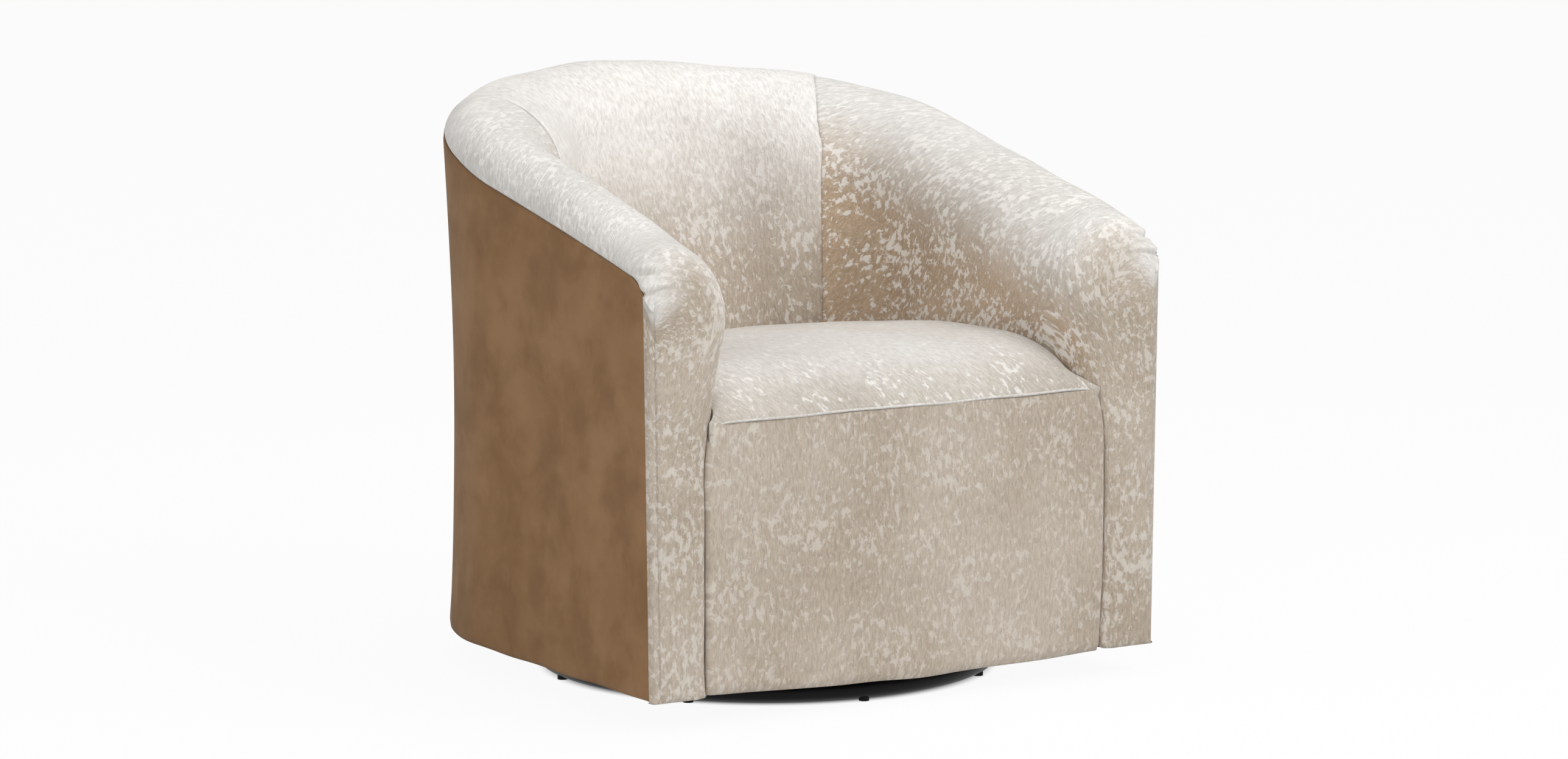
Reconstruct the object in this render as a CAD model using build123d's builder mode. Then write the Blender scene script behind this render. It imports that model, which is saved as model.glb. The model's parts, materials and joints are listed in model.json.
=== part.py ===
# Barrel swivel chair: a padded, upholstered barrel that turns on a low black ring base.
# Units are millimetres. The origin is the middle of the footprint on the floor,
# +Z is up, the chair faces -Y, and the back of the barrel is a half circle in plan.
import math
import os

from build123d import *

# Barrel wall, outside
depth = 840.0
hem_height = 44.0
waist_height = 390.0
shoulder_height = 770.0
hem_half_width = 400.0
shoulder_half_width = 410.5
hem_back_radius = 398.0
waist_back_radius = 389.0
shoulder_back_radius = 405.0

# Rim: the seam between the outside wrap and the pads is one sloping plane
rim_front_height = 588.0
rim_back_height = 768.0
rim_corner_drop = 38.0

# Layers of the wall, from the outside in
wrap_thickness = 3.0
liner_thickness = 2.7
frame_thickness = 56.0
layer_gap = 0.3

# Arm pads and back pad: insets are measured from the outside of the wall
arm_crest_inset = 50.0
arm_roll_height = 46.0
arm_front_roll_height = 31.0
arm_belly_inset = 135.0
arm_belly_drop = 112.0
arm_foot_inset = 118.0
arm_foot_height = 300.0
back_crest_inset = 52.0
back_roll_height = 28.0
back_belly_inset = 145.0
back_belly_drop = 80.0
back_foot_inset = 222.0
back_foot_height = 440.0
arm_nose_radius = 45.0
pad_seam_angle = 36.0
full_back_angle = 75.0

# Seat
front_panel_height = 396.0
front_panel_half_width = 306.0
front_panel_corner = 10.0
front_panel_bulge = 4.0
front_panel_gap = 1.0
seat_crown_height = 459.0
seat_crown_run = 150.0
seat_pitch = 4.0
seat_gap = 5.0
welt_radius = 3.0

# Seat frame
deck_thickness = 1.0
rail_thickness = 22.0
rail_depth = 86.0
rail_top = 296.0
back_rail_y = 205.0
bottom_rail_height = 60.0
top_rail_depth = 45.0
post_width = 40.0
board_thickness = 18.0
board_back_y = 262.0
block_width = 70.0
block_height = 36.0
block_thickness = 24.0
block_places = (-190.0, 140.0)
back_post_angle = 58.0

# Elastic webbing that carries the seat
strap_width = 60.0
strap_thickness = 2.0
strap_count = 5
strap_spacing = 84.0
cross_strap_count = 3
cross_strap_spacing = 150.0

# Swivel bearing
swivel_y = -64.0
plate_side = 300.0
plate_corner = 20.0
plate_thickness = 3.0
plate_hole_radius = 3.4
plate_hole_pitch = 262.0
plate_window_radius = 40.0
ball_radius = 6.0
ball_count = 12
race_radius = 118.0
race_depth = 0.5
race_clearance = 0.05
cage_width = 22.0
cage_thickness = 2.0
cage_clearance = 0.15
screw_radius = 2.6
screw_length = 14.0
pilot_clearance = 0.05
bolt_radius = 3.0
head_radius = 5.2
head_height = 2.6
nut_radius = 5.8
nut_height = 4.0

# Ring base
ring_radius = 305.5
ring_tube_radius = 12.5
foot_count = 8
foot_radius = 7.0
foot_height = 4.0
base_angle = -7.3
spider_width = 40.0
spider_thickness = 6.0
weld_gap = 0.05
dust_cover_thickness = 1.0
window_margin = 5.0

# Values worked out from the sizes above
front_y = -depth / 2
back_centre_y = depth / 2 - shoulder_back_radius
liner_inset = wrap_thickness + layer_gap
frame_inset = liner_inset + liner_thickness + layer_gap
inner_liner_inset = frame_inset + frame_thickness + layer_gap
pad_inset = inner_liner_inset + liner_thickness + layer_gap
nose_back_y = front_y + arm_nose_radius
seat_middle_y = (nose_back_y + back_centre_y) / 2
frame_front_y = nose_back_y + layer_gap
strap_z = rail_top + layer_gap
cross_strap_z = strap_z + strap_thickness + layer_gap
deck_height = cross_strap_z + strap_thickness + layer_gap
pad_bottom = deck_height + deck_thickness + layer_gap
ring_z = foot_height + ring_tube_radius
spider_top = ring_z + ring_tube_radius
ball_z = spider_top + plate_thickness - race_depth + ball_radius
upper_plate_z = ball_z + ball_radius - race_depth
board_bottom = upper_plate_z + plate_thickness
board_top = board_bottom + board_thickness
wall_top = max(shoulder_height, rim_back_height) + layer_gap
far = 2 * depth


def mix(a, b, share):
    return a + (b - a) * share


def back_radius(z):
    """Radius of the half-round back at a height: a slight waist between hem and shoulder."""
    a, b, c = hem_height, waist_height, shoulder_height
    hem_share = (z - b) * (z - c) / ((a - b) * (a - c))
    waist_share = (z - a) * (z - c) / ((b - a) * (b - c))
    shoulder_share = (z - a) * (z - b) / ((c - a) * (c - b))
    return (
        hem_back_radius * hem_share
        + waist_back_radius * waist_share
        + shoulder_back_radius * shoulder_share
    )


def front_half_width(z):
    share = (z - hem_height) / (shoulder_height - hem_height)
    return mix(hem_half_width, shoulder_half_width, share)


def wall_x(y, z):
    """Half width of the long side of the wall, which leaves the back at a tangent and flares."""
    flare = front_half_width(z) - back_radius(z)
    along = (back_centre_y - y) / (back_centre_y - front_y)
    return back_radius(z) + flare * along**2


def rim_z(y):
    return mix(rim_front_height, rim_back_height, (y - front_y) / depth)


def wall_outline(z, inset, overrun=0.0):
    """The barrel's plan at a height, drawn in by an inset and open-ended at the front."""
    radius = back_radius(z) - inset
    half_width = front_half_width(z) - inset
    side = (radius, back_centre_y)
    corner = (half_width, front_y)
    back = (0, back_centre_y + radius)
    with BuildSketch(Plane.XY.offset(z)) as outline:
        with BuildLine():
            TangentArc(side, corner, tangent=(0, -1))
            Polyline(
                corner,
                (half_width, front_y - overrun - layer_gap),
                (-half_width, front_y - overrun - layer_gap),
                (-half_width, front_y),
            )
            TangentArc((-radius, back_centre_y), (-half_width, front_y), tangent=(0, -1))
            TangentArc((-radius, back_centre_y), back, tangent=(0, 1))
            TangentArc(side, back, tangent=(0, 1))
        make_face()
    return outline.sketch


def wall_sections(inset, overrun=0.0):
    levels = (hem_height - layer_gap, waist_height, wall_top)
    return [wall_outline(z, inset, overrun) for z in levels]


def wall_band(outer_inset, inner_inset):
    """A layer of the barrel wall between two insets, at full height and open at the front."""
    with BuildPart() as band:
        loft(wall_sections(outer_inset))
        loft(wall_sections(inner_inset, overrun=arm_nose_radius), mode=Mode.SUBTRACT)
    return band.part


def side_profile(y_front, y_back, bottom, top_drop):
    """A side view region from a level bottom up to a line under the sloping rim."""
    with BuildSketch(Plane.YZ) as region:
        with BuildLine():
            Polyline(
                (y_front, bottom),
                (y_back, bottom),
                (y_back, rim_z(y_back) - top_drop),
                (y_front, rim_z(y_front) - top_drop),
                close=True,
            )
        make_face()
    return region.sketch


def block_profile(y_front, y_back, bottom, top):
    with BuildSketch(Plane.YZ) as region:
        with BuildLine():
            Polyline((y_front, bottom), (y_back, bottom), (y_back, top), (y_front, top), close=True)
        make_face()
    return region.sketch


def wrap_profile(margin=0.0):
    """Side view of the outside wrap, with its round upper corner at the arm front."""
    front = front_y - margin
    bottom = hem_height - margin
    with BuildSketch(Plane.YZ) as region:
        with BuildLine():
            Polyline(
                (front, bottom),
                (far, bottom),
                (far, rim_z(far)),
                (front, rim_z(front)),
                close=True,
            )
        make_face()
        fillet(region.vertices().group_by(Axis.X)[0].sort_by(Axis.Y)[-1], rim_corner_drop)
    return region.sketch


def back_share(angle):
    """How much of the back's fuller section a station has: none on the arms, all at the back."""
    share = min(max(angle / full_back_angle, 0.0), 1.0)
    return share * share * (3 - 2 * share)


def arm_roll_at(y):
    """Height of the arm's roll over the rim: it thins out towards the arm front."""
    share = min(max((y - nose_back_y) / (back_centre_y - nose_back_y), 0.0), 1.0)
    return mix(arm_front_roll_height, arm_roll_height, math.sin(math.pi / 2 * share))


def pad_section(plane, rim, share, arm_roll, draw_in=0.0, bottom=hem_height):
    """A pad's cross-section: roll over the rim, belly, inner face, foot, and the wall side."""
    belly = mix(arm_belly_inset, back_belly_inset, share) - draw_in
    fullness = belly / (belly + draw_in)
    crest = mix(arm_crest_inset, back_crest_inset, share) * fullness
    top = rim + mix(arm_roll, back_roll_height, share) * fullness
    belly_z = top - mix(arm_belly_drop, back_belly_drop, share) * fullness
    foot = mix(arm_foot_inset, back_foot_inset, share) - draw_in
    foot_z = mix(arm_foot_height, back_foot_height, share)
    with BuildSketch(plane) as section:
        with BuildLine():
            TangentArc((crest, top), (0, rim), tangent=(-1, 0))
            roll = TangentArc((crest, top), (belly, belly_z), tangent=(1, 0))
            TangentArc((belly, belly_z), (foot, foot_z), tangent=roll % 1)
            Polyline((foot, foot_z), (foot, bottom), (0, bottom), (0, rim))
        make_face()
    return section.sketch


def arm_station(y, draw_in=0.0, drop=0.0):
    rim = rim_z(y) - drop
    plane = Plane(origin=(wall_x(y, rim), y, 0), x_dir=(-1, 0, 0), z_dir=(0, 1, 0))
    return pad_section(plane, rim, 0.0, arm_roll_at(y), draw_in)


def back_station(angle, bottom=hem_height):
    out_x = math.cos(math.radians(angle))
    out_y = math.sin(math.radians(angle))
    rim = rim_z(back_centre_y + shoulder_back_radius * out_y)
    radius = back_radius(rim)
    origin = (radius * out_x, back_centre_y + radius * out_y, 0)
    plane = Plane(origin=origin, x_dir=(-out_x, -out_y, 0), z_dir=(-out_y, out_x, 0))
    share = back_share(min(angle, 180 - angle))
    return pad_section(plane, rim, share, arm_roll_height, bottom=bottom)


def nose_station(turn):
    """A station of the rounded arm front, by the angle turned from the arm to its front face."""
    out = math.sin(math.radians(turn))
    inward = 1 - math.cos(math.radians(turn))
    y = nose_back_y - arm_nose_radius * out
    return arm_station(y, arm_nose_radius * inward, rim_corner_drop * inward)


def rim_strip(upper_drop, lower_drop):
    """A sloping strip under the rim, in side view."""
    with BuildSketch(Plane.YZ) as region:
        with BuildLine():
            Polyline(
                (frame_front_y, rim_z(frame_front_y) - lower_drop),
                (far, rim_z(far) - lower_drop),
                (far, rim_z(far) - upper_drop),
                (frame_front_y, rim_z(frame_front_y) - upper_drop),
                close=True,
            )
        make_face()
    return region.sketch


def arm_inset_at(z):
    """Inset of the inner arm face at a height, from the straight foot up to the belly."""
    belly_z = rim_z(nose_back_y) + arm_front_roll_height - arm_belly_drop
    share = min(max((z - arm_foot_height) / (belly_z - arm_foot_height), 0.0), 1.0)
    return mix(arm_foot_inset, arm_belly_inset, share)


def inner_arm_x(y, z):
    return wall_x(y, rim_z(y)) - arm_inset_at(z)


def seat_radius(angle, z):
    """Distance from the back's centre to the seat's edge, clear of the pads."""
    rim = rim_z(back_centre_y + shoulder_back_radius * math.sin(math.radians(angle)))
    foot = mix(arm_foot_inset, back_foot_inset, back_share(angle))
    return back_radius(rim) - max(foot, arm_inset_at(z)) - seat_gap


def inner_back_point(angle, z, draw_in):
    """A point of the seat's edge round the back corner, drawn in towards the seat's middle."""
    side = seat_radius(0, z)
    back = back_centre_y + seat_radius(90, z)
    edge_x = seat_radius(angle, z) * math.cos(math.radians(angle))
    edge_y = back_centre_y + seat_radius(angle, z) * math.sin(math.radians(angle))
    return (
        edge_x * (1 - draw_in / side),
        edge_y - draw_in * (edge_y - seat_middle_y) / (back - seat_middle_y),
    )


def panel_half_width(z):
    """Half width of the front panel, which narrows as the arms swell above it."""
    return front_panel_half_width + arm_foot_inset - arm_inset_at(z)


def seat_plane(z, pitch):
    """A plane through the seat's middle at a height, falling to the back by an angle."""
    lean = math.radians(pitch)
    return Plane(origin=(0, seat_middle_y, z), x_dir=(1, 0, 0), z_dir=(0, math.sin(lean), math.cos(lean)))


def seat_outline(z, draw_in, front=None, nose_half_width=None, pitch=0.0):
    """The seat's plan at a height; a nose half width adds the flare between the arm fronts."""
    back_points = [inner_back_point(angle, z, draw_in) for angle in (90, 60, 45, 30, 15, 0)]
    side_front = (inner_arm_x(nose_back_y, z) - seat_gap - draw_in, nose_back_y + layer_gap + draw_in)
    front_corner = (nose_half_width, front) if nose_half_width else side_front
    corners = [*back_points, side_front, front_corner, (0, front_corner[1])]
    back, *bend, side_back, side_front, front_corner, middle = [(x, y - seat_middle_y) for x, y in corners]
    with BuildSketch(seat_plane(z, pitch)) as outline:
        with BuildLine():
            TangentArc(back, bend[0], tangent=(1, 0))
            ThreePointArc(*bend[0:3])
            ThreePointArc(*bend[2:4], side_back)
            Line(side_back, side_front)
            if nose_half_width:
                TangentArc(side_front, front_corner, tangent=(0, -1))
            Line(front_corner, middle)
            mirror(about=Plane.YZ)
        make_face()
    return outline.sketch


def panel_outline(z, front):
    """Plan of the front panel: it fills the valley between the two rounded arm fronts."""
    inner_x = inner_arm_x(nose_back_y, z)
    nose_centre_x = inner_x + arm_nose_radius
    half_width = panel_half_width(z)
    reach = arm_nose_radius + front_panel_gap
    valley_y = nose_back_y - math.sqrt(reach**2 - (nose_centre_x - half_width) ** 2)
    valley = (half_width, valley_y)
    with BuildSketch(Plane.XY.offset(z)) as outline:
        with BuildLine():
            Line((0, front), (half_width - front_panel_corner, front))
            TangentArc((half_width - front_panel_corner, front), valley, tangent=(1, 0))
            TangentArc((nose_centre_x - reach, nose_back_y), valley, tangent=(0, -1))
            Line((nose_centre_x - reach, nose_back_y), (0, nose_back_y))
            mirror(about=Plane.YZ)
        make_face()
    return outline.sketch


def swivel_plane(z, angle=0.0):
    """A level plane centred on the swivel axis, turned by an angle."""
    x_dir = (math.cos(math.radians(angle)), math.sin(math.radians(angle)), 0)
    return Plane(origin=(0, swivel_y, z), x_dir=x_dir, z_dir=(0, 0, 1))


def frame_band():
    return wall_band(frame_inset, frame_inset + frame_thickness)


def post_region(y_front, y_back):
    bottom = board_bottom + bottom_rail_height + layer_gap
    return side_profile(y_front, y_back, bottom, top_rail_depth + 2 * layer_gap)


# Spaces that the pads leave free: the hollow for the wall's frame, and the skin of the wrap
with BuildPart() as wall_space:
    extrude(side_profile(frame_front_y, far, 0, 0), amount=far, both=True)
    loft(wall_sections(pad_inset, overrun=arm_nose_radius), mode=Mode.SUBTRACT)

with BuildPart() as wrap_space:
    extrude(wrap_profile(margin=layer_gap), amount=far, both=True)
    loft(wall_sections(liner_inset, overrun=arm_nose_radius), mode=Mode.SUBTRACT)

# Arm pads: inside arm, roll and rounded front in one piece, hollow where the frame stands
with BuildPart() as right_arm_pad:
    loft([nose_station(90 * share / 4) for share in range(5)])
    arm_stations = [arm_station(mix(nose_back_y, back_centre_y, share / 4)) for share in range(4)]
    turn_stations = [back_station(pad_seam_angle * share / 3) for share in range(4)]
    loft(arm_stations + turn_stations)
    add(wall_space.part, mode=Mode.SUBTRACT)
    add(wrap_space.part, mode=Mode.SUBTRACT)
    extrude(block_profile(frame_front_y, far, 0, pad_bottom), amount=far, both=True, mode=Mode.SUBTRACT)

with BuildPart() as left_arm_pad:
    mirror(right_arm_pad.part, about=Plane.YZ)

# Back pad: between the two upright seams
with BuildPart() as back_pad:
    back_sweep = 180 - 2 * pad_seam_angle
    loft([back_station(pad_seam_angle + back_sweep * share / 6, pad_bottom) for share in range(7)])
    add(wall_space.part, mode=Mode.SUBTRACT)

# Outside wrap and the card behind it
with BuildPart() as outside_wrap:
    add(wall_band(0, wrap_thickness))
    extrude(wrap_profile(), amount=far, both=True, mode=Mode.INTERSECT)

with BuildPart() as outer_liner:
    add(wall_band(liner_inset, liner_inset + liner_thickness))
    extrude(
        side_profile(frame_front_y, far, board_bottom, layer_gap),
        amount=far, both=True, mode=Mode.INTERSECT,
    )

with BuildPart() as inner_liner:
    add(wall_band(inner_liner_inset, inner_liner_inset + liner_thickness))
    extrude(
        side_profile(frame_front_y, far, rail_top + layer_gap, layer_gap),
        amount=far, both=True, mode=Mode.INTERSECT,
    )

# Wall frame: curved bottom and top rails with posts between them
with BuildPart() as bottom_rail:
    add(frame_band())
    extrude(
        block_profile(frame_front_y, far, board_bottom, board_bottom + bottom_rail_height),
        amount=far, both=True, mode=Mode.INTERSECT,
    )

with BuildPart() as top_rail:
    add(frame_band())
    extrude(
        rim_strip(layer_gap, layer_gap + top_rail_depth),
        amount=far, both=True, mode=Mode.INTERSECT,
    )

with BuildPart() as right_front_post:
    add(frame_band())
    extrude(post_region(frame_front_y, frame_front_y + post_width), amount=far, mode=Mode.INTERSECT)

with BuildPart() as right_side_post:
    add(frame_band())
    extrude(
        post_region(back_centre_y - post_width / 2, back_centre_y + post_width / 2),
        amount=far, mode=Mode.INTERSECT,
    )

with BuildPart() as right_back_post:
    add(frame_band())
    extrude(post_region(back_centre_y, far), amount=far, mode=Mode.INTERSECT)
    radial = (math.cos(math.radians(back_post_angle)), math.sin(math.radians(back_post_angle)), 0)
    with BuildSketch(Plane(origin=(0, back_centre_y, 0), x_dir=radial, z_dir=(0, 0, 1))):
        Rectangle(depth, post_width, align=(Align.MIN, Align.CENTER))
    extrude(amount=far, mode=Mode.INTERSECT)

with BuildPart() as left_front_post:
    mirror(right_front_post.part, about=Plane.YZ)

with BuildPart() as left_side_post:
    mirror(right_side_post.part, about=Plane.YZ)

with BuildPart() as left_back_post:
    mirror(right_back_post.part, about=Plane.YZ)

# Seat frame: front rail, curved hoop, back rail, the board that carries the swivel
with BuildPart() as front_rail:
    loft(wall_sections(inner_liner_inset))
    extrude(
        block_profile(frame_front_y, frame_front_y + rail_thickness, board_top + layer_gap, rail_top),
        amount=far, both=True, mode=Mode.INTERSECT,
    )

with BuildPart() as seat_hoop:
    add(wall_band(inner_liner_inset, inner_liner_inset + rail_thickness))
    extrude(
        block_profile(frame_front_y + rail_thickness + layer_gap, far, rail_top - rail_depth, rail_top),
        amount=far, both=True, mode=Mode.INTERSECT,
    )

with BuildPart() as back_rail:
    loft(wall_sections(inner_liner_inset + rail_thickness + layer_gap))
    extrude(
        block_profile(back_rail_y, back_rail_y + rail_thickness, rail_top - rail_depth, rail_top),
        amount=far, both=True, mode=Mode.INTERSECT,
    )

with BuildPart() as swivel_board:
    loft(wall_sections(inner_liner_inset))
    extrude(
        block_profile(frame_front_y, board_back_y, board_bottom, board_top),
        amount=far, both=True, mode=Mode.INTERSECT,
    )
    with BuildSketch(swivel_plane(board_bottom)):
        with GridLocations(plate_hole_pitch, plate_hole_pitch, 2, 2):
            Circle(screw_radius + pilot_clearance)
    extrude(amount=screw_length + pilot_clearance, mode=Mode.SUBTRACT)

with BuildPart() as corner_blocks:
    add(wall_band(inner_liner_inset, inner_liner_inset + block_thickness))
    with BuildSketch(Plane.YZ):
        with Locations(*[(y, board_top + layer_gap) for y in block_places]):
            Rectangle(block_width, block_height, align=(Align.CENTER, Align.MIN))
    extrude(amount=far, both=True, mode=Mode.INTERSECT)

# Webbing in two crossing layers, and the cloth deck over it
with BuildPart() as seat_webbing:
    strap_middle_y = (frame_front_y + back_rail_y + rail_thickness) / 2
    with BuildSketch(Plane.XY.offset(strap_z)):
        with Locations((0, strap_middle_y)):
            with GridLocations(strap_spacing, strap_spacing, strap_count, 1):
                Rectangle(strap_width, back_rail_y + rail_thickness - frame_front_y)
    extrude(amount=strap_thickness)

with BuildPart() as cross_webbing:
    loft(wall_sections(pad_inset))
    with BuildSketch(Plane.YZ):
        with Locations((strap_middle_y, cross_strap_z)):
            with GridLocations(cross_strap_spacing, cross_strap_spacing, cross_strap_count, 1):
                Rectangle(strap_width, strap_thickness, align=(Align.CENTER, Align.MIN))
    extrude(amount=far, both=True, mode=Mode.INTERSECT)

with BuildPart() as seat_deck:
    loft(wall_sections(pad_inset))
    extrude(
        block_profile(frame_front_y, board_back_y, deck_height, deck_height + deck_thickness),
        amount=far, both=True, mode=Mode.INTERSECT,
    )

# Seat: foam core, crowned pad, padded front panel and the welt between the last two
seat_joint = front_panel_height + layer_gap
with BuildPart() as seat_foam:
    loft(
        [
            seat_outline(pad_bottom, 0),
            seat_outline(front_panel_height, 0),
        ]
    )

with BuildPart() as seat_pad:
    crown = seat_crown_height - seat_joint
    seat_sections = []
    for step in range(5):
        turn = math.radians(90 * step / 4)
        draw_in = seat_crown_run * (1 - math.cos(turn))
        seat_z = seat_joint + crown * math.sin(turn)
        seat_front = front_y + 2 * welt_radius + layer_gap + draw_in
        nose_half_width = panel_half_width(seat_z) - draw_in
        pitch = seat_pitch * math.sin(turn)
        seat_sections.append(seat_outline(seat_z, draw_in, seat_front, nose_half_width, pitch))
    loft(seat_sections)

with BuildPart() as seat_front_panel:
    panel_bottom = hem_height + layer_gap
    panel_middle = (panel_bottom + front_panel_height) / 2
    panel_top_front = front_y + 2 * welt_radius + layer_gap
    loft(
        [
            panel_outline(panel_bottom, front_y + front_panel_bulge),
            panel_outline(panel_middle, front_y),
            panel_outline(front_panel_height, panel_top_front),
        ]
    )

with BuildPart() as seat_welt:
    welt_half_length = panel_half_width(seat_joint) - front_panel_corner
    welt_start = (-welt_half_length, front_y + welt_radius, seat_joint)
    with BuildSketch(Plane(origin=welt_start, z_dir=(1, 0, 0))):
        Circle(welt_radius)
    extrude(amount=2 * welt_half_length)

# Dust cover under the seat, with a window for the swivel plate
with BuildPart() as dust_cover:
    loft(wall_sections(liner_inset))
    dust_top = board_bottom - layer_gap
    extrude(
        block_profile(frame_front_y, far, dust_top - dust_cover_thickness, dust_top),
        amount=far, both=True, mode=Mode.INTERSECT,
    )
    with BuildSketch(swivel_plane(0)):
        Rectangle(plate_side + 2 * window_margin, plate_side + 2 * window_margin)
    extrude(amount=far, mode=Mode.SUBTRACT)

# Swivel bearing: two pressed plates, a ball cage between them and its balls
with BuildPart() as upper_bearing_plate:
    with BuildSketch(swivel_plane(upper_plate_z)):
        RectangleRounded(plate_side, plate_side, plate_corner)
        Circle(plate_window_radius, mode=Mode.SUBTRACT)
        with GridLocations(plate_hole_pitch, plate_hole_pitch, 2, 2):
            Circle(plate_hole_radius, mode=Mode.SUBTRACT)
    extrude(amount=plate_thickness)
    with Locations(swivel_plane(ball_z)):
        Torus(race_radius, ball_radius + race_clearance, mode=Mode.SUBTRACT)

with BuildPart() as lower_bearing_plate:
    with BuildSketch(swivel_plane(spider_top, base_angle)):
        RectangleRounded(plate_side, plate_side, plate_corner)
        Circle(plate_window_radius, mode=Mode.SUBTRACT)
        with GridLocations(plate_hole_pitch, plate_hole_pitch, 2, 2):
            Circle(plate_hole_radius, mode=Mode.SUBTRACT)
    extrude(amount=plate_thickness)
    with Locations(swivel_plane(ball_z)):
        Torus(race_radius, ball_radius + race_clearance, mode=Mode.SUBTRACT)

with BuildPart() as ball_cage:
    with BuildSketch(swivel_plane(ball_z - cage_thickness / 2)):
        Circle(race_radius + cage_width / 2)
        Circle(race_radius - cage_width / 2, mode=Mode.SUBTRACT)
        with PolarLocations(race_radius, ball_count):
            Circle(ball_radius + cage_clearance, mode=Mode.SUBTRACT)
    extrude(amount=cage_thickness)

with BuildPart() as bearing_balls:
    with Locations(swivel_plane(ball_z)):
        with PolarLocations(race_radius, ball_count):
            Sphere(ball_radius)

with BuildPart() as upper_plate_screws:
    with BuildSketch(swivel_plane(upper_plate_z)):
        with GridLocations(plate_hole_pitch, plate_hole_pitch, 2, 2):
            Circle(head_radius)
    extrude(amount=-head_height)
    with BuildSketch(swivel_plane(upper_plate_z)):
        with GridLocations(plate_hole_pitch, plate_hole_pitch, 2, 2):
            Circle(screw_radius)
    extrude(amount=plate_thickness + screw_length)

# Ring base: tube ring on peg feet, with a welded cross that carries the bearing
with BuildPart() as base_ring:
    with Locations(swivel_plane(ring_z)):
        Torus(ring_radius, ring_tube_radius)

with BuildPart() as ring_feet:
    with BuildSketch(swivel_plane(0, base_angle)):
        with PolarLocations(ring_radius, foot_count):
            Circle(foot_radius)
    extrude(amount=ring_z - ring_tube_radius / 2)
    with Locations(swivel_plane(ring_z)):
        Torus(ring_radius, ring_tube_radius + weld_gap, mode=Mode.SUBTRACT)

with BuildPart() as ring_spider:
    with BuildSketch(swivel_plane(spider_top - spider_thickness, base_angle)):
        with Locations((0, 0)):
            Rectangle(2 * ring_radius, spider_width, rotation=45)
            Rectangle(2 * ring_radius, spider_width, rotation=-45)
        with GridLocations(plate_hole_pitch, plate_hole_pitch, 2, 2):
            Circle(plate_hole_radius, mode=Mode.SUBTRACT)
    extrude(amount=spider_thickness)
    with Locations(swivel_plane(ring_z)):
        Torus(ring_radius, ring_tube_radius + weld_gap, mode=Mode.SUBTRACT)

with BuildPart() as lower_plate_bolts:
    plate_top = spider_top + plate_thickness
    spider_bottom = spider_top - spider_thickness
    with BuildSketch(swivel_plane(plate_top, base_angle)):
        with GridLocations(plate_hole_pitch, plate_hole_pitch, 2, 2):
            Circle(head_radius)
    extrude(amount=head_height)
    with BuildSketch(swivel_plane(spider_bottom - nut_height, base_angle)):
        with GridLocations(plate_hole_pitch, plate_hole_pitch, 2, 2):
            RegularPolygon(nut_radius, 6)
    extrude(amount=nut_height)
    with BuildSketch(swivel_plane(spider_bottom, base_angle)):
        with GridLocations(plate_hole_pitch, plate_hole_pitch, 2, 2):
            Circle(bolt_radius)
    extrude(amount=spider_thickness + plate_thickness)

pieces = {
    "base_ring": base_ring,
    "ring_feet": ring_feet,
    "ring_spider": ring_spider,
    "lower_bearing_plate": lower_bearing_plate,
    "lower_plate_bolts": lower_plate_bolts,
    "ball_cage": ball_cage,
    "bearing_balls": bearing_balls,
    "upper_bearing_plate": upper_bearing_plate,
    "upper_plate_screws": upper_plate_screws,
    "swivel_board": swivel_board,
    "corner_blocks": corner_blocks,
    "bottom_rail": bottom_rail,
    "top_rail": top_rail,
    "left_front_post": left_front_post,
    "right_front_post": right_front_post,
    "left_side_post": left_side_post,
    "right_side_post": right_side_post,
    "left_back_post": left_back_post,
    "right_back_post": right_back_post,
    "front_rail": front_rail,
    "seat_hoop": seat_hoop,
    "back_rail": back_rail,
    "seat_webbing": seat_webbing,
    "cross_webbing": cross_webbing,
    "seat_deck": seat_deck,
    "seat_foam": seat_foam,
    "seat_pad": seat_pad,
    "seat_front_panel": seat_front_panel,
    "seat_welt": seat_welt,
    "left_arm_pad": left_arm_pad,
    "right_arm_pad": right_arm_pad,
    "back_pad": back_pad,
    "inner_liner": inner_liner,
    "outer_liner": outer_liner,
    "outside_wrap": outside_wrap,
    "dust_cover": dust_cover,
}
os.makedirs("parts", exist_ok=True)
for name, piece in pieces.items():
    piece.part.label = name
    export_step(piece.part, f"parts/{name}.step")
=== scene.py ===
import json
import math

import bmesh
import bpy
import numpy as np
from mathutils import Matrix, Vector


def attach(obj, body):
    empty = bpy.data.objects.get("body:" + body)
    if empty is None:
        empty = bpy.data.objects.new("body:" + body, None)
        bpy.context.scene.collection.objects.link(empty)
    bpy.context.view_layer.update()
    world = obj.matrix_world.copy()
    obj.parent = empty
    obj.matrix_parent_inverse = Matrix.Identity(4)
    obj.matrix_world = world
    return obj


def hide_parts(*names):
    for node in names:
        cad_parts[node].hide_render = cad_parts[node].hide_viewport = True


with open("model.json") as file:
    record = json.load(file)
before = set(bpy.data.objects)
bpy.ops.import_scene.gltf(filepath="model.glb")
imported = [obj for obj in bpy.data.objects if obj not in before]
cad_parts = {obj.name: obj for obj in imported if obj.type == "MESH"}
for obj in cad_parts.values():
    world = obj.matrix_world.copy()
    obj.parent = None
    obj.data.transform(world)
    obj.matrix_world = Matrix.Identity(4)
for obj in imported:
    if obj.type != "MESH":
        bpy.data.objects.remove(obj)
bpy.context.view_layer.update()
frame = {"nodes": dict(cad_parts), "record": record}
nodes = frame["nodes"]
print("frame loaded:", len(nodes), "nodes")

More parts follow.
